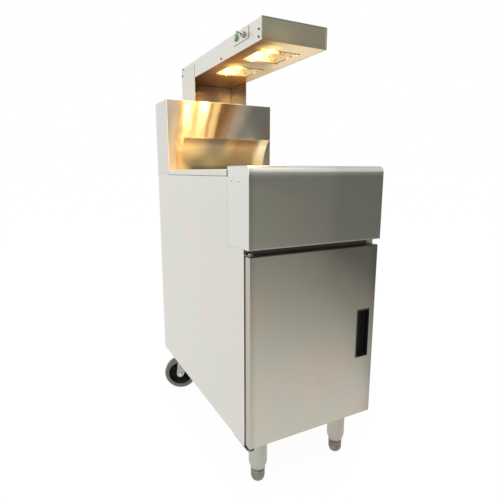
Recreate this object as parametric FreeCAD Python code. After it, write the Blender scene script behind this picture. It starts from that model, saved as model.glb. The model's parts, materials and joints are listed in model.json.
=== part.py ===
import FreeCAD, Part
import math
import os

# Free-standing heated warmer: a cupboard on two legs and two castors, with a lift-out scoop pan in its top,
# a splashback box behind the pan, and a gantry that carries two quartz lamps over it.
# Millimetres. X runs to the right, Y to the back, Z up. The origin is on the floor, under the middle.

V = FreeCAD.Vector
os.makedirs("parts", exist_ok=True)

# Overall sizes
cabinet_width = 400.0
worktop_height = 850.0

# Sheet metal
sheet = 1.2
bend_radius = 2.5
panel_gap = 0.4
overrun = 5.0

# Clearances
seat_gap = 0.3
running_clearance = 0.05
running_gap = 1.5

# Side panels
side_drop = 25.0
front_flange = 22.0
rear_flange = 20.0
top_flange = 20.0
lap = 12.0

# Base, back and cross rail
base_flange = 25.0
cross_rail_height = 60.0
cross_rail_depth = 20.0
cross_rail_below_door_top = 2.0

# Fascia
fascia_height = 191.0
fascia_depth = 110.5
bullnose_radius = 15.0
fascia_bottom_lip = 22.0
ledge_lip = 20.0
fascia_screw_drop = 9.0
fascia_screw_inset = 19.0
fascia_screw_pitch = 40.0

# Pan rails
rail_drop = 9.0
rail_width = 36.0
rail_foot = 18.0
rail_lip = 12.0
rail_notch = 2.0

# Splashback box
splash_depth = 135.3
splash_height = 250.0
splash_rear_flange = 15.0
splash_angle_height = 14.0
splash_angle_foot = 16.0
splash_screw_rise = 5.0
splash_screw_inset = 14.0
wire_hole_radius = 6.0

# Gantry
gantry_width = 196.0
column_height = 115.0
head_thickness = 54.0
column_step = 15.0
column_flange = 14.0
column_web_depth = 18.5
head_seam = 1.0
arm_reach = 90.0
arm_margin = 6.0
nose_inset = 1.5
nose_return = 25.0
base_plate_flange = 12.0
base_screw_rise = 9.5
base_screw_inset = 15.0
base_screw_pitch = 229.0
arm_screw_inset = 19.0

# Lamps
lamp_opening_length = 120.0
lamp_opening_relief = 3.0
front_lamp_offset = 129.5
rear_lamp_offset = 137.5
lamp_spacing = 200.0
lamp_height = 15.0
lamp_tube_radius = 5.0
lamp_tube_length = 92.0
lamp_overhang = 2.0
lamp_cap_length = 9.0
lamp_cap_radius = 4.6
lamp_neck_radius = 3.2
lamp_neck_length = 4.0
reflector_wall = 0.8
reflector_height = 38.0
reflector_margin = 1.0
reflector_flange = 6.0
reflector_lean_x = 12.0
reflector_lean_y = 22.0
holder_width = 16.0
holder_depth = 17.0
holder_rise = 10.0
holder_grip = 4.0
holder_slot_gap = 1.5

# Control plate, pilot lamp and switch
control_plate_thickness = 1.0
control_plate_setback = 67.0
control_plate_front_margin = 27.0
control_plate_rear_margin = 20.5
control_plate_foot_margin = 14.0
control_plate_corner = 5.0
pilot_pitch = 42.0
pilot_below_top = 15.5
pilot_lens_radius = 8.5
pilot_bezel_radius = 10.5
pilot_bezel_height = 2.0
pilot_dome_height = 3.0
pilot_body_radius = 7.5
pilot_body_depth = 26.0
switch_below_top = 19.0
switch_body_width = 26.0
switch_body_height = 20.0
switch_body_depth = 24.0
switch_bush_radius = 6.0
switch_bush_length = 9.0
switch_nut_radius = 8.5
switch_nut_height = 2.6
lever_ball_radius = 3.2
lever_neck_radius = 1.5
lever_tip_radius = 2.8
lever_length = 19.0
lever_inset = 4.0
lever_tilt_angle = 15.0
plate_screw_inset = 6.5

# Scoop pan and drain plate
pan_length = 464.5
pan_front_gap = 4.5
pan_rear_gap = 15.0
pan_side_gap = 3.5
pan_depth = 140.0
pan_wall = 1.2
pan_corner_radius = 28.0
pan_draft = 10.0
pan_rim = 17.0
scoop_back_radius = 131.0
scoop_back_angle = 47.0
scoop_back_rise = 9.0
scoop_hem_radius = 2.0
drain_wall = 1.2
drain_margin = 4.0
drain_foot = 13.0
drain_corner_radius = 22.0
drain_hole_radius = 6.0
drain_hole_pitch = 52.0
drain_edge = 30.0

# Door
door_front_setback = 3.0
door_rear_gap = 4.0
door_side_gap = 4.0
door_bottom_gap = 2.0
door_top_gap = 16.0
door_lip = 10.0
door_edge_radius = 2.2
pocket_from_right_edge = 21.0
pocket_width = 38.0
pocket_height = 134.0
pocket_bottom_rise = 178.0
pocket_depth = 15.0
pocket_wall = 1.6
pocket_rim = 2.5
pocket_rim_height = 1.2
pocket_corner = 3.0
pocket_bevel = 7.0

# Door hinge and catch
hinge_inset_x = 8.0
hinge_inset_y = 11.0
hinge_inset_rear = 9.0
hinge_pin_radius = 4.0
hinge_pin_head_radius = 6.0
hinge_pin_head_height = 2.5
hinge_pin_reach = 13.0
bush_radius = 6.5
bush_length = 14.0
bush_washer_radius = 9.0
bracket_thickness = 3.0
bracket_end_radius = 12.0
bracket_tail = 60.0
bracket_tab_height = 12.0
bracket_edge = 1.0
catch_offset = 8.0
catch_width = 46.0
catch_depth = 16.0
catch_height = 13.0
strike_thickness = 1.0
strike_width = 40.0
strike_height = 12.0

# Front legs and feet
leg_inset_x = 66.0
leg_inset_y = 72.5
leg_plate_size = 76.0
leg_plate_thickness = 3.0
leg_tube_radius = 25.4
leg_tube_wall = 1.5
leg_taper_top = 54.0
leg_taper_bottom = 42.0
leg_collar_radius = 20.0
foot_height = 33.0
foot_radius = 19.0
foot_flat_radius = 8.0
foot_round_height = 17.0
foot_stem_radius = 8.0
foot_stem_length = 42.0
leg_thread_length = 16.0

# Rear castors
castor_inset_x = 66.0
castor_inset_y = 82.3
castor_trail = 29.0
castor_wheel_room = 18.1
castor_turn_angle = 26.6
castor_plate_length = 100.0
castor_plate_width = 85.0
castor_plate_thickness = 4.0
castor_race_radius = 30.0
castor_race_height = 5.0
castor_race_wall = 5.0
castor_crown_radius = 32.0
fork_sheet = 2.6
fork_ear_radius = 13.0
king_pin_radius = 6.0
king_nut_radius = 10.0
king_nut_height = 5.0
wheel_radius = 60.0
wheel_width = 32.0
tyre_depth = 13.0
tyre_round = 7.0
hub_web = 14.0
hub_rim = 5.0
hub_boss_radius = 15.0
hub_boss_stand = 2.0
axle_radius = 5.0
axle_nut_radius = 8.5
axle_nut_height = 5.0

# Cable entry and wiring
gland_bore_radius = 4.5
gland_thread_radius = 10.0
gland_hex_radius = 14.0
gland_hex_height = 6.0
gland_dome_radius = 11.5
gland_dome_height = 14.0
gland_locknut_height = 4.0
gland_inset_y = 34.0
conduit_width = 40.0
conduit_depth = 18.0
terminal_width = 60.0
terminal_depth = 12.0
terminal_height = 20.0
terminal_rise = 20.0
terminal_chamfer = 3.5

# Fasteners
screw_head_radius = 4.4
screw_head_height = 2.2
screw_shank_radius = 2.0
screw_length = 7.0
small_screw_head_radius = 2.6
bolt_head_radius = 6.0
bolt_head_height = 4.0
bolt_inset = 12.0
rear_screw_inset = 8.0

# Shares of the sizes above
head_taper_share = 0.7
gland_taper_share = 0.7
crown_front_share = 0.7
back_screw_shares = [0, 1 / 3, 2 / 3, 1]
cover_screw_shares = [0.1, 0.9]

# Worked out from the sizes above
half_width = cabinet_width / 2
overall_depth = fascia_depth + pan_front_gap + pan_length + pan_rear_gap + splash_depth + screw_head_height
front_y = -overall_depth / 2
rear_y = overall_depth / 2 - screw_head_height
inner_x = half_width - sheet
hub_boss_length = wheel_width + 2 * hub_boss_stand
castor_crown_top_z = 2 * wheel_radius + castor_wheel_room + fork_sheet
castor_plate_bottom_z = castor_crown_top_z + seat_gap + castor_race_height
leg_height = castor_plate_bottom_z + castor_plate_thickness
door_thickness = hinge_inset_y + hinge_inset_rear
door_front_y = front_y + door_front_setback
door_rear_y = door_front_y + door_thickness
side_front_y = door_rear_y + door_rear_gap
side_top_z = worktop_height - side_drop
fascia_bottom_z = worktop_height - fascia_height
fascia_rear_y = front_y + fascia_depth
rail_top_z = worktop_height - rail_drop
rail_inner_x = half_width - rail_width
splash_front_y = rear_y - splash_depth
splash_top_z = side_top_z + splash_height
half_gantry = gantry_width / 2
gantry_inner_x = half_gantry - sheet
column_web_y = rear_y - column_web_depth
column_top_z = splash_top_z + column_height
head_top_z = column_top_z + column_step
head_bottom_z = head_top_z - head_thickness
head_front_y = splash_front_y - rear_lamp_offset - lamp_spacing - front_lamp_offset
lamp_z = head_bottom_z + lamp_height
lamp_centres_y = [head_front_y + front_lamp_offset, head_front_y + front_lamp_offset + lamp_spacing]
lamp_total_length = lamp_tube_length + 2 * lamp_neck_length + 2 * lamp_cap_length
lamp_opening_width = lamp_total_length - 2 * lamp_overhang
control_plate_front_y = head_front_y + control_plate_setback
switch_y = control_plate_front_y + control_plate_front_margin
pilot_y = switch_y + pilot_pitch
control_plate_rear_y = pilot_y + control_plate_rear_margin
door_half_width = half_width - door_side_gap
door_bottom_z = leg_height + door_bottom_gap
door_top_z = fascia_bottom_z - door_top_gap
hinge_x = -door_half_width + hinge_inset_x
hinge_y = door_front_y + hinge_inset_y
pan_rear_y = splash_front_y - pan_rear_gap
pan_front_y = pan_rear_y - pan_length
pan_half_width = rail_inner_x - pan_side_gap
pan_rim_z = rail_top_z + seat_gap + pan_wall
pan_floor_z = pan_rim_z - pan_depth
leg_x = half_width - leg_inset_x
leg_y = front_y + leg_inset_y
castor_x = half_width - castor_inset_x
castor_y = rear_y - castor_inset_y
gland_y = rear_y - gland_inset_y


def slab(x0, x1, y0, y1, z0, z1):
    """A block between two corners."""
    return Part.makeBox(x1 - x0, y1 - y0, z1 - z0, V(x0, y0, z0))


def rod(start, direction, radius, length):
    """A round bar that starts at a point and runs along a direction."""
    return Part.makeCylinder(radius, length, start, direction)


def mirrored(shape):
    """The same piece for the other side of the cabinet."""
    return shape.mirror(V(0, 0, 0), V(1, 0, 0))


def both_sides(shapes):
    """The given pieces and their mirror images."""
    return shapes + [mirrored(shape) for shape in shapes]


def rounded_path(points, radii):
    """Edges along a line of points, with an arc at each inner point that has a radius."""
    edges = []
    last = points[0]
    for here, corner, after, radius in zip(points, points[1:], points[2:], radii):
        to_back = (here - corner).normalize()
        to_ahead = (after - corner).normalize()
        half_turn = to_back.getAngle(to_ahead) / 2
        reach = radius / math.tan(half_turn)
        bisector = (to_back + to_ahead).normalize()
        middle = corner + bisector * (radius / math.sin(half_turn) - radius)
        arc_start = corner + to_back * reach
        arc_end = corner + to_ahead * reach
        edges.append(Part.makeLine(last, arc_start))
        edges.append(Part.Arc(arc_start, middle, arc_end).toShape())
        last = arc_end
    edges.append(Part.makeLine(last, points[-1]))
    return edges


def folded_section(points, normal, thickness=sheet, radius=bend_radius):
    """The face of a folded sheet: the points are its outer line, and the metal lies on the left of it."""
    lefts = [normal.cross(b - a).normalize() for a, b in zip(points, points[1:])]
    inner = [points[0] + lefts[0] * thickness]
    outer_radii = []
    inner_radii = []
    for corner, before, after in zip(points[1:], lefts, lefts[1:]):
        across = (before + after).normalize()
        inner.append(corner + across * (thickness / across.dot(before)))
        closes = before.cross(after).dot(normal) > 0
        outer_radii.append(radius if closes else radius - thickness)
        inner_radii.append(radius - thickness if closes else radius)
    inner.append(points[-1] + lefts[-1] * thickness)
    outer_edges = rounded_path(points, outer_radii)
    inner_edges = rounded_path(inner[::-1], inner_radii[::-1])
    ends = [Part.makeLine(points[-1], inner[-1]), Part.makeLine(inner[0], points[0])]
    wire = Part.Wire(Part.__sortEdges__(outer_edges + inner_edges + ends))
    return Part.Face(wire)


def shell_box(low, high, open_sides, wall=sheet, radius=bend_radius):
    """A folded box with some sides left out, its edges rounded where two walls meet."""
    names = ["x-", "x+", "y-", "y+", "z-", "z+"]
    corners = [low.x, high.x, low.y, high.y, low.z, high.z]
    grow = [-1, 1, -1, 1, -1, 1]

    def block(spans, edge_radius):
        body = slab(*spans)
        edges = [edge for edge in body.Edges if not on_open_side(edge, spans)]
        if not edges:
            return body
        return body.makeFillet(edge_radius, edges)

    def on_open_side(edge, spans):
        middle = edge.CenterOfMass
        places = [middle.x, middle.x, middle.y, middle.y, middle.z, middle.z]
        ends = [abs(places[i] - spans[i]) < seat_gap and names[i] in open_sides for i in range(len(names))]
        return any(ends)

    outer = block(corners, radius)
    inner_spans = []
    for name, corner, sign in zip(names, corners, grow):
        inner_spans.append(corner + sign * overrun if name in open_sides else corner - sign * wall)
    return outer.cut(block(inner_spans, radius - wall))


def rounded_rectangle(x0, x1, y0, y1, z, radius):
    """A closed flat wire with four round corners."""
    face = Part.Face(Part.makePolygon([V(x0, y0, z), V(x1, y0, z), V(x1, y1, z), V(x0, y1, z), V(x0, y0, z)]))
    prism = face.extrude(V(0, 0, radius))
    upright = [edge for edge in prism.Edges if abs(edge.tangentAt(edge.FirstParameter).z) > 0.5]
    prism = prism.makeFillet(radius, upright)
    lowest = min(prism.Faces, key=lambda f: f.CenterOfMass.z)
    return lowest.OuterWire


def outline(steps):
    """A closed face in the XZ plane: a step is a point for a line, or a way point and an end for an arc."""
    last = V(steps[0][0], 0, steps[0][1])
    first = last
    edges = []
    for step in steps[1:] + steps[:1]:
        if isinstance(step[0], tuple):
            way = V(step[0][0], 0, step[0][1])
            end = V(step[1][0], 0, step[1][1])
            edges.append(Part.Arc(last, way, end).toShape())
        else:
            end = V(step[0], 0, step[1])
            edges.append(Part.makeLine(last, end))
        last = end
    return Part.Face(Part.Wire(edges))


def quarter(start, end, bulge):
    """An arc step from a start to an end: its way point lies on the quarter ellipse towards the bulge."""
    share = 1 - math.sqrt(0.5)
    way = (bulge[0] + (start[0] - bulge[0]) * share + (end[0] - bulge[0]) * share,
           bulge[1] + (start[1] - bulge[1]) * share + (end[1] - bulge[1]) * share)
    return way, end


def revolved(profile, centre, axis):
    """A closed profile of radius and height steps, turned about an axis through a centre."""
    body = outline(profile).revolve(V(0, 0, 0), V(0, 0, 1), 360)
    body.Placement = FreeCAD.Placement(centre, FreeCAD.Rotation(V(0, 0, 1), axis))
    return body


def hexagon(centre, axis, radius, height):
    """A six-sided nut or head, measured over its corners."""
    turns = [math.tau * i / 6 for i in range(6)]
    points = [V(radius * math.cos(a), radius * math.sin(a), 0) for a in turns]
    body = Part.Face(Part.makePolygon(points + points[:1])).extrude(V(0, 0, height))
    body.Placement = FreeCAD.Placement(centre, FreeCAD.Rotation(V(0, 0, 1), axis))
    return body


def screw(place, outward, head_radius=screw_head_radius):
    """A pan-head screw that seats at a place: the head stands outward and the shank runs inward."""
    head = Part.makeCone(head_radius, head_radius * head_taper_share, screw_head_height, place, outward)
    shank = rod(place, outward * -1, screw_shank_radius, screw_length)
    return head.fuse(shank).removeSplitter()


def screw_hole(place, outward):
    """The hole that a screw's shank fills."""
    return rod(place + outward * overrun, outward * -1, screw_shank_radius, screw_length + overrun)


def fascia_screw_points():
    """The two screws of the right fascia return."""
    z = side_top_z - fascia_screw_drop
    return [V(half_width, fascia_rear_y - fascia_screw_inset, z),
            V(half_width, fascia_rear_y - fascia_screw_inset - fascia_screw_pitch, z)]


def splash_screw_points():
    """The two screws at the foot of the splashback's right side."""
    z = side_top_z + splash_screw_rise
    return [V(half_width, splash_front_y + splash_screw_inset, z),
            V(half_width, rear_y - splash_screw_inset, z)]


def head_screw_points():
    """The screws on the right side of the head and the top of the column."""
    nose_y = head_front_y + nose_inset + nose_return / 2
    base_y = head_front_y + base_screw_inset
    base_z = head_bottom_z + base_screw_rise
    arm_y = rear_y - arm_screw_inset
    return [V(half_gantry, nose_y, head_bottom_z + head_thickness / 2),
            V(half_gantry, base_y, base_z),
            V(half_gantry, base_y + base_screw_pitch, base_z),
            V(half_gantry, arm_y, (column_top_z + head_top_z) / 2),
            V(half_gantry, arm_y + arm_screw_inset / 2, column_top_z - base_plate_flange)]


def with_holes(body, holes):
    """The body with each hole cut out."""
    return body.cut(holes).removeSplitter()


def side_panel():
    """Right side: a folded skin, stepped inward by one sheet where the fascia laps over it."""
    line = [V(half_width - front_flange, side_front_y, leg_height), V(half_width, side_front_y, leg_height),
            V(half_width, rear_y, leg_height), V(half_width - rear_flange, rear_y, leg_height)]
    panel = folded_section(line, V(0, 0, 1)).extrude(V(0, 0, side_top_z - leg_height))
    notch = slab(rail_inner_x, half_width + overrun, side_front_y - overrun, fascia_rear_y + panel_gap,
                 fascia_bottom_z - panel_gap, side_top_z + overrun)
    backing = slab(inner_x - sheet, inner_x, side_front_y, fascia_rear_y + lap,
                   fascia_bottom_z - lap, side_top_z)
    ledge = slab(half_width - top_flange, inner_x, fascia_rear_y + lap, rear_y - 2 * sheet,
                 side_top_z - sheet, side_top_z)
    panel = panel.cut(notch).fuse([backing, ledge])
    holes = [screw_hole(place, V(1, 0, 0)) for place in fascia_screw_points()]
    return with_holes(panel, holes)


def base_panel():
    """Cupboard floor: a tray with its edges turned up, and the hole for the cable gland."""
    low = V(-inner_x, side_front_y + sheet, leg_height)
    high = V(inner_x, rear_y - 2 * sheet, leg_height + base_flange)
    hole = rod(V(0, gland_y, leg_height - overrun), V(0, 0, 1), gland_thread_radius, base_flange)
    return with_holes(shell_box(low, high, ["z+"]), [hole])


def back_panel():
    """Flat rear panel, nested in front of the side panels' rear flanges."""
    edge = inner_x - bend_radius
    return slab(-edge, edge, rear_y - 2 * sheet, rear_y - sheet, leg_height, side_top_z)


def cross_rail():
    """Channel across the front between door and fascia, open to the back."""
    front = side_front_y + sheet
    low_z = door_top_z - cross_rail_below_door_top
    high_z = low_z + cross_rail_height
    line = [V(0, front + cross_rail_depth, high_z), V(0, front, high_z),
            V(0, front, low_z), V(0, front + cross_rail_depth, low_z)]
    edge = inner_x - bend_radius
    rail = folded_section(line, V(1, 0, 0)).extrude(V(2 * edge, 0, 0))
    rail.translate(V(-edge, 0, 0))
    return rail


def fascia_solid(inset, past):
    """The fascia's outline as a block, inset by a wall, with a bullnose along the top of its front."""
    x = half_width - inset
    front = front_y + inset
    top = worktop_height - inset
    radius = bullnose_radius - inset
    bottom = fascia_bottom_z - past
    back = fascia_rear_y + past
    arc_middle = V(-x, front + radius * (1 - math.sqrt(0.5)), top - radius * (1 - math.sqrt(0.5)))
    edges = [Part.makeLine(V(-x, front, bottom), V(-x, front, top - radius)),
             Part.Arc(V(-x, front, top - radius), arc_middle, V(-x, front + radius, top)).toShape(),
             Part.makeLine(V(-x, front + radius, top), V(-x, back, top)),
             Part.makeLine(V(-x, back, top), V(-x, back, bottom)),
             Part.makeLine(V(-x, back, bottom), V(-x, front, bottom))]
    block = Part.Face(Part.Wire(edges)).extrude(V(2 * x, 0, 0))
    rounded = []
    for edge in block.Edges:
        middle = edge.CenterOfMass
        beside = abs(abs(middle.x) - x) < seat_gap
        if beside and middle.y < back - seat_gap and middle.z > bottom + seat_gap:
            rounded.append(edge)
    return block.makeFillet(bend_radius - inset, rounded)


def fascia_panel():
    """Front fascia with its bullnose, top ledge, side returns, bottom lip and rear lip."""
    skin = fascia_solid(0, 0).cut(fascia_solid(sheet, overrun))
    corner = inner_x - bend_radius
    bottom_lip = slab(-corner, corner, front_y + sheet / 2, front_y + fascia_bottom_lip,
                      fascia_bottom_z, fascia_bottom_z + sheet)
    rear_lip = slab(-rail_inner_x, rail_inner_x, fascia_rear_y - sheet, fascia_rear_y,
                    worktop_height - ledge_lip, worktop_height - sheet / 2)
    skin = skin.fuse([bottom_lip, rear_lip])
    holes = both_sides([screw_hole(place, V(1, 0, 0)) for place in fascia_screw_points()])
    return with_holes(skin, holes)


def pan_rail():
    """Right rail beside the pan: a box-shaped fold that stands on the side panel's top flange."""
    start = fascia_rear_y + rail_notch
    line = [V(half_width - rail_foot, start, side_top_z), V(half_width, start, side_top_z),
            V(half_width, start, rail_top_z), V(rail_inner_x, start, rail_top_z),
            V(rail_inner_x, start, rail_top_z - rail_lip)]
    return folded_section(line, V(0, -1, 0)).extrude(V(0, splash_front_y - start, 0))


def rear_rail():
    """Rail behind the pan, between the two side rails and against the splashback."""
    front = pan_rear_y + running_gap
    low_z = rail_top_z - rail_lip
    line = [V(-rail_inner_x, splash_front_y, low_z), V(-rail_inner_x, splash_front_y, rail_top_z),
            V(-rail_inner_x, front, rail_top_z), V(-rail_inner_x, front, low_z)]
    return folded_section(line, V(1, 0, 0)).extrude(V(2 * rail_inner_x, 0, 0))


def splash_panel():
    """Splashback box: front, sides and top in one fold, with flanges for its rear cover."""
    low = V(-half_width, splash_front_y, side_top_z)
    high = V(half_width, rear_y, splash_top_z)
    box = shell_box(low, high, ["y+", "z-"])
    flange = slab(half_width - splash_rear_flange, inner_x, rear_y - 2 * sheet, rear_y - sheet,
                  side_top_z + sheet, splash_top_z - sheet)
    box = box.fuse(both_sides([flange]))
    wire_hole = rod(V(0, (column_web_y + rear_y) / 2, splash_top_z - overrun), V(0, 0, 1),
                    wire_hole_radius, 2 * overrun)
    holes = both_sides([screw_hole(place, V(1, 0, 0)) for place in splash_screw_points()])
    return with_holes(box, holes + [wire_hole])


def splash_angle():
    """Right angle piece that ties the splashback's side to the side panel's top flange."""
    start = splash_front_y + sheet + bend_radius
    stop = rear_y - 2 * sheet
    line = [V(inner_x - splash_angle_foot, start, side_top_z), V(inner_x, start, side_top_z),
            V(inner_x, start, side_top_z + splash_angle_height)]
    angle = folded_section(line, V(0, -1, 0)).extrude(V(0, stop - start, 0))
    holes = [screw_hole(place, V(1, 0, 0)) for place in splash_screw_points()]
    return with_holes(angle, holes)


def splash_rear_cover():
    """Flat cover on the rear flanges of the splashback."""
    edge = inner_x - seat_gap
    return slab(-edge, edge, rear_y - sheet, rear_y, side_top_z, splash_top_z - sheet)


def gantry_column():
    """Column: open to the front, its two sides joined by a web set far back, with rear flanges and bolting
    flanges at its foot."""
    low = V(-half_gantry, splash_front_y, splash_top_z)
    high = V(half_gantry, rear_y, column_top_z)
    box = shell_box(low, high, ["y-", "y+", "z-", "z+"])
    web = slab(-gantry_inner_x - sheet / 2, gantry_inner_x + sheet / 2, column_web_y, column_web_y + sheet,
               splash_top_z, column_top_z)
    rear = slab(gantry_inner_x - column_flange, gantry_inner_x, rear_y - 2 * sheet, rear_y - sheet,
                splash_top_z, column_top_z)
    foot = slab(gantry_inner_x - column_flange, gantry_inner_x, splash_front_y + bend_radius,
                rear_y - 2 * sheet, splash_top_z, splash_top_z + sheet)
    box = box.fuse([web] + both_sides([rear, foot]))
    doorway = slab(-wire_hole_radius, wire_hole_radius, column_web_y - sheet, column_web_y + 2 * sheet,
                   head_bottom_z + 2 * sheet, column_top_z - overrun)
    holes = both_sides([screw_hole(place, V(1, 0, 0)) for place in head_screw_points()[-1:]])
    return with_holes(box, holes + [doorway])


def column_rear_cover():
    """Cover down the back of the column."""
    edge = gantry_inner_x - seat_gap
    return slab(-edge, edge, rear_y - sheet, rear_y, splash_top_z, head_top_z - sheet)


def gantry_arm():
    """Right arm plate that joins the head's side to the column's side from within."""
    start = splash_front_y - arm_reach
    low_z = head_bottom_z + base_plate_flange + arm_margin / 2
    line = [V(gantry_inner_x, start, low_z), V(gantry_inner_x, start, head_top_z - sheet),
            V(gantry_inner_x - column_flange, start, head_top_z - sheet)]
    arm = folded_section(line, V(0, -1, 0)).extrude(V(0, rear_y - 2 * sheet - start, 0))
    wall = slab(gantry_inner_x - column_flange - overrun, gantry_inner_x + overrun, column_web_y,
                column_web_y + sheet, low_z - overrun, column_top_z)
    holes = [screw_hole(place, V(1, 0, 0)) for place in head_screw_points()[-2:]]
    return with_holes(arm, holes + [wall])


def head_cover():
    """Head channel: top and sides in one fold, its rear part a shallow cap over the column."""
    low = V(-half_gantry, head_front_y, head_bottom_z)
    high = V(half_gantry, rear_y, head_top_z)
    channel = shell_box(low, high, ["y-", "y+", "z-"])
    behind = slab(-half_gantry - overrun, half_gantry + overrun, splash_front_y - head_seam, rear_y + overrun,
                  head_bottom_z - overrun, column_top_z + panel_gap)
    holes = both_sides([screw_hole(place, V(1, 0, 0)) for place in head_screw_points()[:4]])
    pilot = rod(pilot_point(), V(1, 0, 0), pilot_body_radius, overrun)
    bush = rod(switch_point(), V(1, 0, 0), switch_bush_radius, overrun)
    plate_hole = screw_hole(plate_screw_point(), V(-1, 0, 0))
    return with_holes(channel, holes + [behind, pilot, bush, plate_hole])


def head_nose():
    """Front panel of the head, set a little behind the channel's rim, with side flanges."""
    front = head_front_y + nose_inset
    line = [V(-gantry_inner_x, front + nose_return, head_bottom_z), V(-gantry_inner_x, front, head_bottom_z),
            V(gantry_inner_x, front, head_bottom_z), V(gantry_inner_x, front + nose_return, head_bottom_z)]
    panel = folded_section(line, V(0, 0, 1)).extrude(V(0, 0, head_thickness - sheet))
    under = slab(-half_gantry, half_gantry, front + sheet, front + nose_return + overrun,
                 head_bottom_z - overrun, head_bottom_z + sheet)
    inner_radius = bend_radius - sheet
    corner = slab(gantry_inner_x - inner_radius, half_gantry, front - overrun, front + nose_return + overrun,
                  head_bottom_z + head_thickness - sheet - inner_radius, head_top_z)
    holes = both_sides([screw_hole(place, V(1, 0, 0)) for place in head_screw_points()[:2]] + [corner])
    return with_holes(panel, holes + [under])


def lamp_opening(centre_y):
    """The cut for one lamp: a rectangle with relief holes at its corners."""
    half_length = lamp_opening_length / 2
    half_opening = lamp_opening_width / 2
    low_z = head_bottom_z - overrun
    cut = slab(-half_opening, half_opening, centre_y - half_length, centre_y + half_length,
               low_z, low_z + 2 * overrun)
    reliefs = []
    for x in [-half_opening, half_opening]:
        for y in [centre_y - half_length, centre_y + half_length]:
            reliefs.append(rod(V(x, y, low_z), V(0, 0, 1), lamp_opening_relief, 2 * overrun))
    return cut.fuse(reliefs)


def head_base_plate():
    """Underside of the head with the two lamp openings, back to the column's web, its long edges turned up."""
    front = head_front_y + nose_inset + sheet
    flange_z = head_bottom_z + base_plate_flange
    line = [V(-gantry_inner_x, front, flange_z), V(-gantry_inner_x, front, head_bottom_z),
            V(gantry_inner_x, front, head_bottom_z), V(gantry_inner_x, front, flange_z)]
    plate = folded_section(line, V(0, -1, 0)).extrude(V(0, column_web_y - front, 0))
    room = slab(-half_gantry, half_gantry, front - overrun, front + nose_return,
                head_bottom_z + sheet, head_top_z)
    holes = both_sides([screw_hole(head_screw_points()[2], V(1, 0, 0))])
    return with_holes(plate, [room] + holes + [lamp_opening(y) for y in lamp_centres_y])


def hood(base_x, base_y, top_x, top_y, low_z, high_z):
    """A solid that narrows from one rectangle to another above it."""
    low = Part.makePolygon([V(-base_x, -base_y, low_z), V(base_x, -base_y, low_z), V(base_x, base_y, low_z),
                            V(-base_x, base_y, low_z), V(-base_x, -base_y, low_z)])
    high = Part.makePolygon([V(-top_x, -top_y, high_z), V(top_x, -top_y, high_z), V(top_x, top_y, high_z),
                             V(-top_x, top_y, high_z), V(-top_x, -top_y, high_z)])
    return Part.makeLoft([low, high], True, True)


def reflector(centre_y):
    """Polished box over one lamp, its walls leaning inwards, with slots for the lamp holders."""
    low_z = head_bottom_z + sheet
    high_z = low_z + reflector_height
    base_x = lamp_opening_width / 2 + reflector_margin
    base_y = lamp_opening_length / 2 + lamp_opening_relief + reflector_margin
    top_x = base_x - reflector_lean_x
    top_y = base_y - reflector_lean_y
    wall = reflector_wall
    outer = hood(base_x + wall, base_y + wall, top_x + wall, top_y + wall, low_z, high_z)
    inner = hood(base_x, base_y, top_x, top_y, low_z, high_z - wall)
    rim_x = base_x + reflector_flange
    rim_y = base_y + reflector_flange
    rim = slab(-rim_x, rim_x, -rim_y, rim_y, low_z, low_z + wall)
    slot_y = holder_width / 2 + holder_slot_gap
    slot = slab(top_x + wall, rim_x + overrun, -slot_y, slot_y, low_z - overrun,
                lamp_z + holder_rise + holder_slot_gap)
    body = outer.fuse(rim).cut([inner, slot, mirrored(slot)]).removeSplitter()
    body.translate(V(0, centre_y, 0))
    return body


def lamp_holders():
    """Ceramic holders: a foot on the base plate beside each opening, and an arm that takes the lamp's cap."""
    pieces = []
    foot_x = lamp_opening_width / 2 + reflector_margin
    grip_x = lamp_total_length / 2 - holder_grip
    end_x = foot_x + holder_depth
    half = holder_width / 2
    for y in lamp_centres_y:
        foot = slab(foot_x, end_x, y - half, y + half, head_bottom_z + sheet, lamp_z + holder_rise)
        arm = slab(grip_x, foot_x, y - half, y + half, lamp_z - lamp_cap_radius - holder_grip / 2,
                   lamp_z + holder_rise)
        socket = rod(V(grip_x - overrun, y, lamp_z), V(1, 0, 0), lamp_cap_radius + running_clearance,
                     holder_grip + overrun)
        pieces.append(foot.fuse(arm).cut(socket).removeSplitter())
    return Part.makeCompound(both_sides(pieces))


def quartz_tubes():
    """Quartz lamps: straight tubes, each with a narrower neck at both ends."""
    half = lamp_tube_length / 2
    end = half + lamp_neck_length
    shoulder = half - lamp_neck_length
    upper = [(lamp_tube_radius, shoulder), (lamp_neck_radius, half), (lamp_neck_radius, end), (0, end)]
    profile = [(r, -z) for r, z in upper[::-1]] + upper
    return Part.makeCompound([revolved(profile, V(0, y, lamp_z), V(1, 0, 0)) for y in lamp_centres_y])


def lamp_caps():
    """Ceramic end caps of both lamps, from the neck to the holder's socket."""
    start = lamp_tube_length / 2 + lamp_neck_length
    caps = [rod(V(start, y, lamp_z), V(1, 0, 0), lamp_cap_radius, lamp_total_length / 2 - start)
            for y in lamp_centres_y]
    return Part.makeCompound(both_sides(caps))


def pilot_point():
    """Centre of the pilot lamp on the face of the head's left side."""
    return V(-half_gantry, pilot_y, head_top_z - pilot_below_top)


def switch_point():
    """Centre of the switch on the face of the head's left side."""
    return V(-half_gantry, switch_y, head_top_z - switch_below_top)


def plate_screw_point():
    """The small screw near the rear end of the control plate."""
    return V(-half_gantry - control_plate_thickness, control_plate_rear_y - plate_screw_inset, switch_point().z)


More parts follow.
